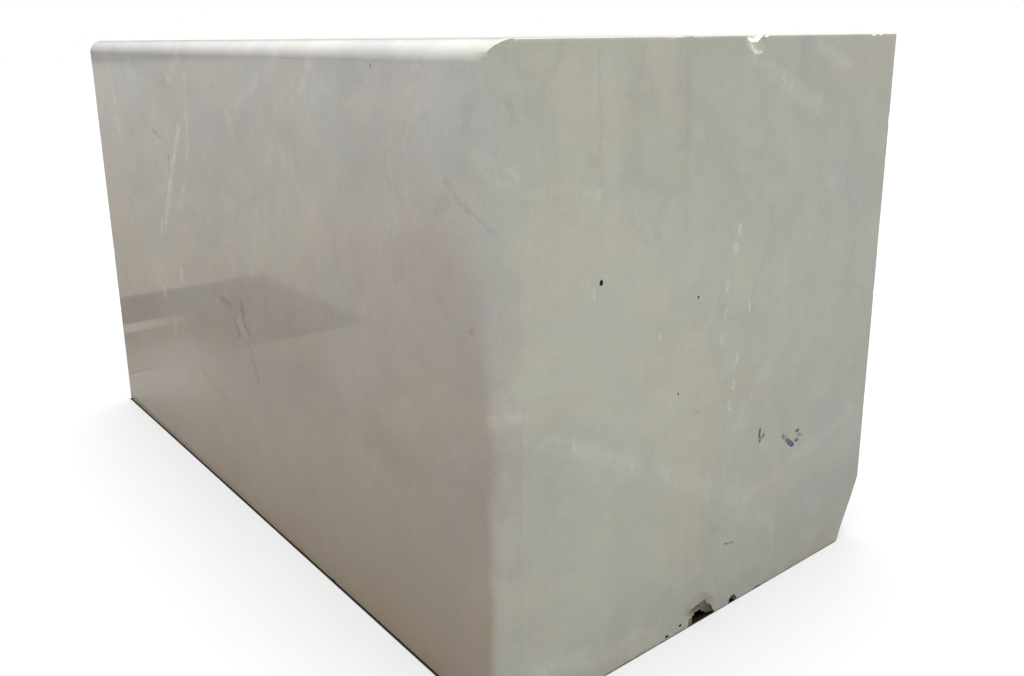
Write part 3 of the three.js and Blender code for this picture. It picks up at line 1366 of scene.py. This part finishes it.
@dataclass(frozen=True)
class StoneFinish:
    """One way that the marble's surface is left, and the material for it.

    Attributes:
        name: The material's name.
        tint: What the stone's colour is multiplied by.
        roughness: How matt it is in the clear stone.
        roughness_spread: How much matter it is in the clouds.
        veins: How strongly the ghost veins show.
        warmth: How much warmer and cooler tone drifts through it.
        grain_height: The height of the crystal grain, in millimetres.
        saw_height: The height of the saw's lines, in millimetres.
        saw_tone: How much the saw's lines change the tone.
        squeeze: The direction of the saw's lines, as a small share along it.
        plane: 1 along the two axes that its marks lie in, and 0 across them.
        marks: Its own veins, stains and flecks.
        drifts: Its broad patches, much softer than its marks.
        ragged: How far the marks' edges stray along each axis at a finger's width, or None.
        wrap_tint: What its colour is multiplied by once it has turned the near upright edge.
        end_tint: The same where it runs into the end face.
        flecks: How much of the scattered flecks show.
        ground_tone: How strong the tone that rises from the ground is.
        ground_tone_reach: How high that tone rises.
        ground_tone_haste: Below 1, the tone is strong from well up; above 1, only near the ground.
        ground_tone_colour: The tone that rises from the ground.
    """

    name: str
    tint: Colour = (1.0, 1.0, 1.0)
    roughness: float = 0.5
    roughness_spread: float = 0.08
    veins: float = 0.25
    warmth: float = 0.5
    grain_height: float = 0.05
    saw_height: float = 0.0
    saw_tone: float = 0.0
    squeeze: Colour = (1.0, 1.0, 0.02)
    plane: Colour = (1.0, 1.0, 1.0)
    marks: tuple[Mark, ...] = ()
    drifts: tuple[Mark, ...] = ()
    ragged: Colour | None = None
    flecks: float = 0.0
    ground_tone: float = 0.3
    ground_tone_reach: float = 1.0
    ground_tone_haste: float = 1.0
    ground_tone_colour: Colour = (0.30, 0.24, 0.17)
    wrap_tint: Colour | None = None
    end_tint: Colour = (1.0, 1.0, 1.0)

    FLECK_CROWDING: ClassVar[float] = 17.0
    FLECK_SIZE: ClassVar[float] = 0.16
    FLECK_SHARE: ClassVar[float] = 0.22
    TONES: ClassVar[dict[str, Colour]] = {
        "Deep Tone": (0.568, 0.563, 0.497),
        "Clear Tone": (0.640, 0.632, 0.558),
        "Warm Tone": (0.648, 0.605, 0.520),
        "Cool Tone": (0.556, 0.576, 0.545),
        "Vein Tone": (0.720, 0.710, 0.660),
        "Wisp Tone": (0.470, 0.475, 0.450),
    }

    def material(self, low: Vector, high: Vector) -> bpy.types.Material:
        """Builds the finish's material.

        Args:
            low: The lowest corner of the block.
            high: The highest corner of the block.

        Returns:
            The material.
        """
        made = bpy.data.materials.new(self.name)
        made.use_nodes = True
        made.node_tree.nodes.clear()
        nodes = Wiring(made.node_tree)
        point = nodes.add("ShaderNodeTexCoord").outputs["Object"]
        body = nodes.add("ShaderNodeGroup", {"node_tree": marble_body()})
        settings = {"Point": point, "Warmth": self.warmth, "Veins": self.veins, **self.TONES}
        for name, value in settings.items():
            nodes.feed(body.inputs[name], value)
        fine = body.outputs["Fine Cloud"]
        colour = nodes.colour(body.outputs["Colour"], self.tint, 1.0, "MULTIPLY")
        colour = self.toned_from_ground(nodes, point, colour)
        colour, turned = self.wrapped(nodes, point, colour, body, low, high)
        height = nodes.math("MULTIPLY", body.outputs["Grain"], self.grain_height)
        colour, height = self.sawn(nodes, point, colour, height)
        colour = self.drifted(nodes, point, colour, low, high)
        colour = self.marked(nodes, point, colour, fine, low, high)
        colour = self.flecked(nodes, point, colour)
        rough = nodes.ease(fine, 0.35, 0.65, self.roughness, self.roughness + self.roughness_spread)
        if self.wrap_tint is not None:
            rough = nodes.blend(rough, END_ROUGHNESS, turned)
        bump = nodes.add("ShaderNodeBump", Strength=1.0, Distance=MM, Height=height)
        shader = nodes.add(
            "ShaderNodeBsdfPrincipled", Base_Color=colour, Roughness=rough, Normal=bump.outputs[0]
        )
        shader.inputs["IOR"].default_value = 1.49
        nodes.add("ShaderNodeOutputMaterial", Surface=shader.outputs[0])
        return made

    def toned_from_ground(self, nodes: Wiring, point: object, colour: object) -> object:
        """Lays the tone that rises from the ground over a colour.

        Args:
            nodes: Adds the nodes.
            point: The point of the surface.
            colour: The colour so far.

        Returns:
            The colour with that tone.
        """
        if not self.ground_tone:
            return colour
        rise = nodes.add(
            "ShaderNodeGroup",
            {"node_tree": ground_tone_rise()},
            Point=point,
            Reach=self.ground_tone_reach,
            Haste=self.ground_tone_haste,
        )
        return nodes.colour(colour, self.ground_tone_colour, nodes.math("MULTIPLY", rise.outputs[0], self.ground_tone))

    def flecked(self, nodes: Wiring, point: object, colour: object) -> object:
        """Scatters flecks of clear calcite over a colour.

        Args:
            nodes: Adds the nodes.
            point: The point of the surface.
            colour: The colour so far.

        Returns:
            The flecked colour.
        """
        if not self.flecks:
            return colour
        spots = nodes.add(
            "ShaderNodeGroup",
            {"node_tree": flecks()},
            Point=point,
            Crowding=self.FLECK_CROWDING,
            Size=self.FLECK_SIZE,
            Share=self.FLECK_SHARE,
        )
        return nodes.colour(colour, Tone.PALE.value, nodes.math("MULTIPLY", spots.outputs[0], self.flecks))

    def sawn(self, nodes: Wiring, point: object, colour: object, height: object) -> tuple[object, object]:
        """Adds the saw's lines to a colour and a height.

        Args:
            nodes: Adds the nodes.
            point: The point of the surface.
            colour: The colour so far.
            height: The relief so far, in millimetres.

        Returns:
            The colour and the height with the lines in them.
        """
        if not (self.saw_height or self.saw_tone):
            return colour, height
        lines = nodes.add("ShaderNodeGroup", {"node_tree": saw_marks()}, Point=point, Squeeze=self.squeeze)
        tone = nodes.ease(lines.outputs[0], 0.0, 1.0, 1.0 - self.saw_tone, 1.0 + self.saw_tone)
        shade = nodes.add("ShaderNodeCombineColor", Red=tone, Green=tone, Blue=tone)
        colour = nodes.colour(colour, shade.outputs[0], 1.0, "MULTIPLY")
        ridge = nodes.math("MULTIPLY", lines.outputs[0], self.saw_height)
        return colour, nodes.math("ADD", height, ridge)

    def wrapped(
        self, nodes: Wiring, point: object, colour: object, body: bpy.types.Node, low: Vector, high: Vector
    ) -> tuple[object, object]:
        """Lets a colour give way to the end face's around the near upright edge.

        Above half height the two run into each other over a hand's width; lower down the change
        is close to the edge.

        Args:
            nodes: Adds the nodes.
            point: The point of the surface.
            colour: The colour so far.
            body: The stone's own colour and clouds.
            low: The lowest corner of the block.
            high: The highest corner of the block.

        Returns:
            The colour, and a mask that rises to 1 where the round meets the end face.
        """
        if self.wrap_tint is None:
            return colour, 0.0
        parts = nodes.add("ShaderNodeSeparateXYZ", Vector=point).outputs
        ragged = nodes.math("MULTIPLY", nodes.math("SUBTRACT", body.outputs["Fine Cloud"], 0.5), 0.06)
        across = nodes.math("ADD", nodes.math("SUBTRACT", high.x, parts["X"]), ragged)
        height = nodes.ease(parts["Z"], low.z + 0.75, low.z + 1.30)
        share = nodes.ease(across, nodes.blend(0.056, 0.20, height), nodes.blend(0.018, 0.0, height))
        turned = nodes.colour(body.outputs["Colour"], self.wrap_tint, 1.0, "MULTIPLY")
        level = nodes.colour(body.outputs["Colour"], self.end_tint, 1.0, "MULTIPLY")
        met = nodes.ease(across, 0.036, 0.0)
        turned = nodes.colour(turned, level, met)
        # Darker towards the bottom on the round.
        low_darkening = nodes.ease(parts["Z"], low.z + 1.0, low.z, 1.0, 0.92)
        shade = nodes.add("ShaderNodeCombineColor", Red=low_darkening, Green=low_darkening, Blue=low_darkening)
        turned = nodes.colour(turned, shade.outputs[0], 1.0, "MULTIPLY")
        return nodes.colour(colour, turned, share), met

    def drifted(self, nodes: Wiring, point: object, colour: object, low: Vector, high: Vector) -> object:
        """Lays the broad patches over a colour, their outlines bent a hand's width and more.

        Args:
            nodes: Adds the nodes.
            point: The point of the surface.
            colour: The colour so far.
            low: The lowest corner of the block.
            high: The highest corner of the block.

        Returns:
            The marked colour.
        """
        if not self.drifts:
            return colour
        wobble = nodes.cloud(point, 2.6, 4.0, 0.6)
        offset = nodes.vector("SUBTRACT", wobble.outputs["Color"], (0.5, 0.5, 0.5))
        bent = nodes.vector("MULTIPLY_ADD", offset, (0.5, 0.5, 0.5), point)
        flat = nodes.vector("MULTIPLY", bent, self.plane)
        for tone in Tone:
            mask = self.mask(nodes, flat, [m for m in self.drifts if m.tone is tone], low, high)
            if mask is not None:
                colour = nodes.colour(colour, tone.value, mask)
        return colour

    def marked(
        self, nodes: Wiring, point: object, colour: object, fine: object, low: Vector, high: Vector
    ) -> object:
        """Lays the marks over a colour, tone by tone, bent and broken up by the stone's clouds.

        Args:
            nodes: Adds the nodes.
            point: The point of the surface.
            colour: The colour so far.
            fine: The stone's small clouds.
            low: The lowest corner of the block.
            high: The highest corner of the block.

        Returns:
            The marked colour.
        """
        if not self.marks:
            return colour
        wobble = nodes.cloud(point, 9.0, 4.0, 0.62)
        offset = nodes.vector("SUBTRACT", wobble.outputs["Color"], (0.5, 0.5, 0.5))
        bent = nodes.vector("MULTIPLY_ADD", offset, (0.05, 0.05, 0.05), point)
        if self.ragged is not None:
            stray = nodes.cloud(point, 42.0, 2.0, 0.6)
            offset = nodes.vector("SUBTRACT", stray.outputs["Color"], (0.5, 0.5, 0.5))
            bent = nodes.vector("MULTIPLY_ADD", offset, self.ragged, bent)
        flat = nodes.vector("MULTIPLY", bent, self.plane)
        crumbs = nodes.ease(nodes.cloud(point, 60.0, 3.0, 0.7).outputs[0], 0.36, 0.58, 0.3, 1.0)
        broken = nodes.math("MULTIPLY", crumbs, nodes.ease(fine, 0.36, 0.54, 0.35, 1.1))
        for tone in Tone:
            mask = self.mask(nodes, flat, [m for m in self.marks if m.tone is tone], low, high)
            if mask is not None:
                steady = tone in {Tone.PAINT, Tone.FRESH_PAINT, Tone.DARK}
                share = nodes.math("MULTIPLY", mask, crumbs if steady else broken)
                colour = nodes.colour(colour, tone.value, share)
        return colour

    def mask(
        self, nodes: Wiring, flat: object, marks: list[Mark], low: Vector, high: Vector
    ) -> bpy.types.NodeSocket | None:
        """Finds the strongest of several marks at each point.

        Args:
            nodes: Adds the nodes.
            flat: The point, laid in the marks' plane.
            marks: The marks.
            low: The lowest corner of the block.
            high: The highest corner of the block.

        Returns:
            How strongly they show, or None if there are no marks.
        """
        best = None
        for mark in marks:
            for ends in mark.strokes():
                start, end = (self.on_face(place, low, high) for place in ends)
                run = end - start
                stroke = nodes.add(
                    "ShaderNodeGroup",
                    {"node_tree": streak()},
                    Point=flat,
                    Start=start,
                    Run=run,
                    Shortness=1.0 / max(run.length_squared, 1e-6),
                    Inner=mark.half_width * MM,
                    Outer=(mark.half_width + mark.feather) * MM,
                    Strength=mark.strength,
                )
                best = stroke.outputs[0] if best is None else nodes.math("MAXIMUM", best, stroke.outputs[0])
        return best

    def on_face(self, place: Place, low: Vector, high: Vector) -> Vector:
        """Finds a place in the marks' plane.

        Args:
            place: Metres from the near upright edge, and metres up.
            low: The lowest corner of the block.
            high: The highest corner of the block.

        Returns:
            The point.
        """
        across, up = place
        if self.plane[0]:
            return Vector((high.x - across, 0.0, low.z + up))
        return Vector((0.0, low.y + across, low.z + up))


END_TINT = (0.898, 0.898, 0.892)
END_ROUGHNESS = 0.44

FINISHES = {
    Kind.POLISHED: StoneFinish(
        "marble_polished",
        tint=(0.907, 0.898, 0.973),
        roughness=0.05,
        roughness_spread=0.04,
        grain_height=0.004,
        plane=(1.0, 0.0, 1.0),
        marks=FRONT_MARKS + NEAR_EDGE_MARKS,
        drifts=FRONT_DRIFTS,
        ragged=(0.035, 0.03, 0.02),
        # Here the tone that rises from the ground is painted reflection and painted shade: the brown ground
        # reflected in the polish and its dim bounce, darker and browner towards the bottom.
        ground_tone=0.80,
        ground_tone_reach=1.38,
        ground_tone_haste=0.8,
        ground_tone_colour=(0.305, 0.222, 0.125),
        warmth=0.55,
        wrap_tint=(0.885, 0.895, 0.91),
        end_tint=END_TINT,
    ),
    Kind.HONED: StoneFinish(
        "marble_honed",
        tint=END_TINT,
        roughness=END_ROUGHNESS - 0.04,
        grain_height=0.03,
        saw_height=0.05,
        saw_tone=0.014,
        plane=(0.0, 1.0, 1.0),
        marks=END_MARKS,
        drifts=END_DRIFTS,
        flecks=0.4,
        # Here the tone that rises from the ground is painted shade, a neutral darkening towards the bottom.
        ground_tone=0.16,
        ground_tone_reach=1.0,
        ground_tone_colour=(0.34, 0.33, 0.29),
        warmth=0.55,
    ),
    Kind.SAWN: StoneFinish(
        "marble_sawn",
        roughness=0.55,
        grain_height=0.06,
        saw_height=0.35,
        saw_tone=0.035,
        ground_tone=0.25,
        ground_tone_reach=0.7,
    ),
    # Painted shade: the top's stone is darkened so that the strong overhead light does not blow it out; its
    # saw lines and veins are the stone's own.
    Kind.DARKENED_TOP: StoneFinish(
        "marble_darkened_top",
        tint=(0.56, 0.555, 0.535),
        roughness=0.6,
        grain_height=0.12,
        saw_height=0.3,
        saw_tone=0.03,
        squeeze=(0.03, 1.0, 1.0),
        veins=0.45,
        warmth=0.6,
        ground_tone=0.0,
    ),
    Kind.BROKEN: StoneFinish(
        "marble_broken",
        tint=(0.98, 0.975, 0.95),
        roughness=0.5,
        roughness_spread=0.25,
        grain_height=0.6,
        plane=(0.0, 1.0, 1.0),
        marks=NOTCH_MARKS,
        ground_tone=0.25,
        ground_tone_reach=0.25,
    ),
    Kind.CRUMBLED: StoneFinish(
        "marble_crumbled",
        tint=(0.80, 0.78, 0.68),
        roughness=0.7,
        grain_height=0.9,
        plane=(0.0, 1.0, 1.0),
        marks=RIM_MARKS,
        # Here the near-black tone that rises from the ground is painted shade at the foot of the crumbled
        # hollow.
        ground_tone=0.85,
        ground_tone_reach=0.085,
        ground_tone_colour=(0.075, 0.052, 0.03),
    ),
    # Painted shade: the insides of the hollows and pits are near black, standing for the shade in them.
    Kind.SHADE_FILLED: StoneFinish(
        "marble_shade_filled",
        tint=(0.055, 0.047, 0.045),
        roughness=0.85,
        grain_height=1.2,
        veins=0.0,
        warmth=0.0,
        ground_tone=0.0,
    ),
}


# --------------------------------------------------------------------------------------
# The block
# --------------------------------------------------------------------------------------


@dataclass
class MarbleBlock:
    """The whole block: blank, rounds, break, hollows and chips, dressed in its finishes.

    Attributes:
        low: The lowest corner of its box in the frame.
        high: The highest corner.
        sharp: The angle above which two faces meet in a crisp edge.
        blank: The eased blank that the rest is cut from.
    """

    low: Vector
    high: Vector
    sharp: float = math.radians(38)
    blank: Blank = field(init=False)

    def __post_init__(self) -> None:
        """Sets out the blank in the block's box."""
        self.blank = Blank(self.low, self.high)

    def sawn_edges(self) -> list[tuple[Vector, Vector]]:
        """Lists the edges that take chips, each stopping short of its corners.

        Returns:
            Each edge as its two ends.
        """
        low, high = self.low, self.high
        short = 45 * MM
        ends = (
            ((low.x, high.y, high.z), (high.x, high.y, high.z)),
            ((low.x, low.y, low.z), (high.x, low.y, low.z)),
            ((low.x, high.y, low.z), (high.x - 0.55, high.y, low.z)),
            ((low.x, low.y + 0.05, high.z), (low.x, high.y, high.z)),
            ((high.x, low.y + 0.08, high.z), (high.x, high.y, high.z)),
            ((low.x, low.y, low.z), (low.x, high.y, low.z)),
            ((high.x, low.y + 0.05, low.z), (high.x, high.y - 0.1, low.z)),
            ((low.x, low.y, low.z), (low.x, low.y, high.z - 0.05)),
            ((low.x, high.y, low.z), (low.x, high.y, high.z)),
            ((high.x, high.y, low.z + 0.2), (high.x, high.y, high.z)),
        )
        edges = []
        for start, end in ends:
            a, b = Vector(start), Vector(end)
            inward = (b - a).normalized() * short
            edges.append((a + inward, b - inward))
        return edges

    def build(self) -> bpy.types.Object:
        """Cuts the block and dresses it.

        Returns:
            The finished piece.
        """
        dressed = {kind: finish.material(self.low, self.high) for kind, finish in FINISHES.items()}
        stone = self.blank.skin()
        self.clad(stone, dressed)
        for edge in self.blank.rounds:
            subtract(stone, self.blank.round_over(edge), dressed[Kind.POLISHED])
        corner = Vector((self.high.x, self.high.y, self.low.z))
        subtract(stone, CornerBreak(corner).cutter(), dressed[Kind.BROKEN])
        for hollow in END_HOLLOWS:
            cutter = hollow.cutter(self.high.x, self.low.y, self.low.z)
            subtract(stone, cutter, dressed[hollow.finish])
        subtract(stone, EdgeChips(self.sawn_edges()).cutter(dressed[Kind.BROKEN]))
        mesh = stone.data
        mesh.polygons.foreach_set("use_smooth", np.ones(len(mesh.polygons), bool))
        mesh.set_sharp_from_angle(angle=self.sharp)
        log.info("open edges in %s: %d", stone.name, open_edges(stone))
        return stone

    @staticmethod
    def clad(stone: bpy.types.Object, dressed: dict[Kind, bpy.types.Material]) -> None:
        """Gives the uncut blank's faces their finishes.

        Args:
            stone: The blank.
            dressed: Every finish's material.
        """
        mesh = stone.data
        for material in dressed.values():
            mesh.materials.append(material)
        normals = np.empty(3 * len(mesh.polygons))
        mesh.polygons.foreach_get("normal", normals)
        normals = normals.reshape(-1, 3)
        order = list(dressed)
        kinds = np.full(len(normals), order.index(Kind.SAWN))
        kinds[normals[:, 2] > 0.5] = order.index(Kind.DARKENED_TOP)
        kinds[normals[:, 1] < -0.5] = order.index(Kind.POLISHED)
        kinds[normals[:, 0] > 0.5] = order.index(Kind.HONED)
        mesh.polygons.foreach_set("material_index", kinds)


# --------------------------------------------------------------------------------------
# The studio
# --------------------------------------------------------------------------------------


@dataclass(frozen=True)
class Card:
    """A card laid flat beside the block, which is seen only in its polished face.

    Attributes:
        name: What it is called.
        far: How far its far edge lies beyond the block's far end.
        near: The same for its near edge.
        out: How far it reaches out from the polished face.
        far_tone: Its tone along its far edge, beside the block.
        near_tone: Its tone along its near edge.
        outer_tone: Its tone away from the block.
        fade: Where it starts and ends to take that tone, measured out from the face.
        tint: What its tones are multiplied by.
        START: How far in front of the polished face it begins.
        LIFT: How far it lies above the floor.
    """

    name: str
    far: float
    near: float
    out: float
    far_tone: float
    near_tone: float
    outer_tone: float
    fade: tuple[float, float]
    tint: Colour = (1.0, 1.0, 1.0)

    START: ClassVar[float] = 12 * MM
    LIFT: ClassVar[float] = 4 * MM

    def lay(self, corner: Vector) -> None:
        """Makes the card and lays it just clear of the floor.

        Args:
            corner: The block's low corner, at the far end of its polished face.
        """
        matt = bpy.data.materials.new(self.name)
        matt.use_nodes = True
        matt.node_tree.nodes.clear()
        nodes = Wiring(matt.node_tree)
        place = nodes.add("ShaderNodeTexCoord").outputs["Object"]
        parts = nodes.add("ShaderNodeSeparateXYZ", Vector=place).outputs
        x0, x1 = corner.x - self.far, corner.x - self.near
        tone = nodes.ease(parts["X"], x0, x1, self.far_tone, self.near_tone)
        away = nodes.ease(parts["Y"], corner.y - self.fade[0], corner.y - self.fade[1])
        tone = nodes.blend(tone, self.outer_tone, away)
        shade = nodes.vector("SCALE", self.tint, Scale=tone)
        plain = nodes.add("ShaderNodeBsdfDiffuse", Color=shade)
        nodes.add("ShaderNodeOutputMaterial", Surface=plain.outputs[0])
        y0, y1, z = corner.y - self.out, corner.y - self.START, corner.z + self.LIFT
        ring = [Vector(c) for c in ((x0, y0, z), (x1, y0, z), (x1, y1, z), (x0, y1, z))]
        card = mesh_object(self.name, ring, [(0, 1, 2, 3)])
        card.data.materials.append(matt)
        card.visible_camera = False
        card.visible_diffuse = False
        card.visible_shadow = False
        card.visible_transmission = False


@dataclass
class Studio:
    """The pale floor, the soft overhead light and the camera.

    Attributes:
        low: The lowest corner of the block.
        high: The highest corner of the block.
        backdrop: The tone that the floor and the ground behind show to the camera.
        sky_side: The light from near the horizon on the side that the front face looks to.
        sky_end: The same on the side that the end face looks to.
        above: The extra light from the open sky, clear of the horizon.
        overhead: The extra light from straight above.
        overhead_tint: The colour of both.
        bounce: The open floor's tone as it lights and is reflected in the stone.
        bounce_near: The same beside the block, darker there as painted shade.
        bounce_reach: How far from the block it takes to go from one to the other.
        floor_shown: The floor's tone as the camera sees it, before the lift.
        floor_lift: The strength of the glow that lifts it to a pale ground.
        floor_reach: How far the floor runs from its middle.
        gap: The width of the painted shadow line at the foot of the long faces.
        beyond_end: How far the camera stands beyond the end face's plane.
        before_front: How far it stands in front of the polished face's plane.
        eye_height: Its height.
        heading: How far it is turned from +Y towards -X.
        dip: How far it looks down.
        roll: How far it is rolled.
        lens_mm: Its focal length on a 36 mm sensor.
        shift_up: How far its picture is shifted up.
    """

    low: Vector
    high: Vector
    backdrop: float = 1.0
    sky_side: Colour = (0.14, 0.135, 0.135)
    sky_end: Colour = (0.18, 0.195, 0.19)
    above: float = 0.115
    overhead: float = 6.3
    overhead_tint: Colour = (0.995, 1.0, 1.01)
    bounce: Colour = (0.24, 0.232, 0.212)
    bounce_near: Colour = (0.17, 0.165, 0.152)
    floor_shown: Colour = (0.30, 0.30, 0.30)
    floor_lift: float = 1.35
    floor_reach: float = 60.0
    bounce_reach: float = 1.6
    gap: float = 6 * MM

    beyond_end: float = 1.394
    before_front: float = 1.076
    eye_height: float = 1.506
    heading: float = math.radians(51.434)
    dip: float = math.radians(14.363)
    roll: float = math.radians(-0.599)
    lens_mm: float = 32.92
    shift_up: float = -0.0617

    def build(self) -> None:
        """Sets up the sky, the floor, the reflected cards and the camera."""
        scene = bpy.context.scene
        scene.view_settings.view_transform = "Standard"
        scene.world = self.sky()
        self.floor()
        self.cards()
        scene.camera = self.camera()

    def sky(self) -> bpy.types.World:
        """Makes the soft light: dim near the horizon, strong overhead, plain behind the block.

        Returns:
            The world.
        """
        world = bpy.data.worlds.new("soft_overhead_sky")
        world.use_nodes = True
        world.node_tree.nodes.clear()
        nodes = Wiring(world.node_tree)
        way = nodes.add("ShaderNodeTexCoord").outputs["Generated"]
        parts = nodes.add("ShaderNodeSeparateXYZ", Vector=way).outputs
        share = nodes.ease(nodes.math("ADD", parts["X"], parts["Y"]), -1.0, 1.0)
        low_sky = nodes.colour(self.sky_side, self.sky_end, share)
        open_sky = nodes.ease(parts["Z"], 0.02, 0.24, 0.0, self.above)
        cap = nodes.math("ADD", open_sky, nodes.ease(parts["Z"], 0.68, 0.92, 0.0, self.overhead))
        light = nodes.vector("ADD", low_sky, nodes.vector("SCALE", self.overhead_tint, Scale=cap))
        seen = nodes.add("ShaderNodeLightPath").outputs["Is Camera Ray"]
        shown = nodes.colour(light, (self.backdrop,) * 3, seen)
        glow = nodes.add("ShaderNodeBackground", Color=shown)
        nodes.add("ShaderNodeOutputWorld", Surface=glow.outputs[0])
        return world

    def floor(self) -> None:
        """A wide pale floor that lights the stone dimly, with a thin painted shadow at the block's foot."""
        reach = self.floor_reach
        ring = ((-reach, -reach), (reach, -reach), (reach, reach), (-reach, reach))
        floor = mesh_object("studio_floor", [Vector((x, y, self.low.z)) for x, y in ring], [(0, 1, 2, 3)])
        pale = bpy.data.materials.new("pale_floor")
        pale.use_nodes = True
        pale.node_tree.nodes.clear()
        nodes = Wiring(pale.node_tree)
        place = nodes.add("ShaderNodeTexCoord").outputs["Object"]
        # Painted shadow: under the block, and in a thin line beside its long faces, the floor turns near
        # black to the camera and loses its glow.
        clear = nodes.ease(self.outside(nodes, place, self.gap), -2 * MM, 2 * MM)
        # Painted shade: beside the block, the floor is darker in the light it throws on the stone and in the
        # stone's reflections.
        opened = nodes.ease(self.outside(nodes, place, 0.0), 0.0, self.bounce_reach)
        light = nodes.colour(self.bounce_near, self.bounce, opened)
        seen = nodes.add("ShaderNodeLightPath").outputs["Is Camera Ray"]
        shown = nodes.colour((0.02, 0.015, 0.012), self.floor_shown, clear)
        matt = nodes.add("ShaderNodeBsdfDiffuse", Color=nodes.colour(light, shown, seen))
        lift = nodes.add("ShaderNodeEmission", Color=self.floor_shown)
        strength = nodes.math("MULTIPLY", nodes.math("MULTIPLY", seen, clear), self.floor_lift)
        nodes.feed(lift.inputs["Strength"], strength)
        both = nodes.add("ShaderNodeAddShader")
        nodes.feed(both.inputs[0], matt.outputs[0])
        nodes.feed(both.inputs[1], lift.outputs[0])
        nodes.add("ShaderNodeOutputMaterial", Surface=both.outputs[0])
        floor.data.materials.append(pale)

    def outside(self, nodes: Wiring, place: object, gap: float) -> bpy.types.NodeSocket:
        """Measures how far a point of the floor lies outside the block's foot.

        Args:
            nodes: Adds the nodes.
            place: The point.
            gap: How much wider the foot counts as, beside the long faces.

        Returns:
            The distance, which is negative under the block.
        """
        parts = nodes.add("ShaderNodeSeparateXYZ", Vector=place).outputs
        past_end = nodes.math("SUBTRACT", nodes.math("ABSOLUTE", parts["X"]), self.high.x)
        past_side = nodes.math("SUBTRACT", nodes.math("ABSOLUTE", parts["Y"]), self.high.y + gap)
        # The broken corner leaves the ground bare beyond a slanting line.
        slant = Vector((CornerBreak.across, CornerBreak.along, 0.0)).normalized()
        foot = slant.dot(Vector((self.high.x, self.high.y - CornerBreak.across, 0.0)))
        past_break = nodes.math("SUBTRACT", nodes.vector("DOT_PRODUCT", place, slant), foot)
        # So does the rounded near edge, beyond a quarter circle.
        centre = (NEAR_ROUND - self.high.x, self.low.y + NEAR_ROUND - gap, 0.0)
        turned = nodes.vector("MULTIPLY_ADD", place, (1.0, -1.0, 0.0), centre)
        spread = nodes.vector("LENGTH", nodes.vector("MAXIMUM", turned, (0.0, 0.0, 0.0)))
        past_round = nodes.math("SUBTRACT", spread, NEAR_ROUND)
        past = nodes.math("MAXIMUM", past_end, past_side)
        return nodes.math("MAXIMUM", past, nodes.math("MAXIMUM", past_break, past_round))

    def cards(self) -> None:
        """Lays out the cards: two level bands with a pale strip between, and one along the foot."""
        length = self.high.x - self.low.x
        for card in (
            Card("band_card", 1.69, 1.11, 1.36, 0.11, 0.11, 0.088, (0.35, 0.9), (0.94, 1.0, 1.16)),
            Card("strip_card", 1.11, 0.95, 1.36, 0.28, 0.27, 0.088, (0.34, 0.72), (1.03, 1.0, 0.94)),
            Card("low_band_card", 0.95, 0.30, 1.36, 0.16, 0.28, 0.08, (0.25, 0.85)),
            Card("foot_card", 0.295, -length, 0.75, 0.37, 0.22, 0.16, (0.012, 0.75)),
        ):
            card.lay(self.low)

    def camera(self) -> bpy.types.Object:
        """Makes the camera, at the top's height, just off the near upright edge.

        Returns:
            The camera.
        """
        data = bpy.data.cameras.new("camera")
        data.lens = self.lens_mm
        data.sensor_width = 36.0
        data.shift_y = self.shift_up
        camera = bpy.data.objects.new("camera", data)
        bpy.context.scene.collection.objects.link(camera)
        place = Vector((self.high.x, self.low.y, self.low.z))
        place += Vector((self.beyond_end, -self.before_front, self.eye_height))
        turn = Matrix.Rotation(self.heading, 4, "Z")
        turn @= Matrix.Rotation(math.pi / 2 - self.dip, 4, "X")
        turn @= Matrix.Rotation(self.roll, 4, "Z")
        camera.matrix_world = Matrix.Translation(place) @ turn
        return camera


def main() -> None:
    """Builds the block and the studio, and reports each piece."""
    logging.basicConfig(level=logging.INFO, format="%(name)s: %(message)s", stream=sys.stdout)
    low, high = (Vector(corner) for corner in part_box(NODE))
    stone = MarbleBlock(low, high).build()
    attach(stone, "root")
    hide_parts(NODE)
    stone.data.calc_loop_triangles()
    log.info("%s: %d triangles", stone.name, len(stone.data.loop_triangles))
    Studio(low, high).build()
    log.info("studio ready")


if __name__ == "__main__":
    main()
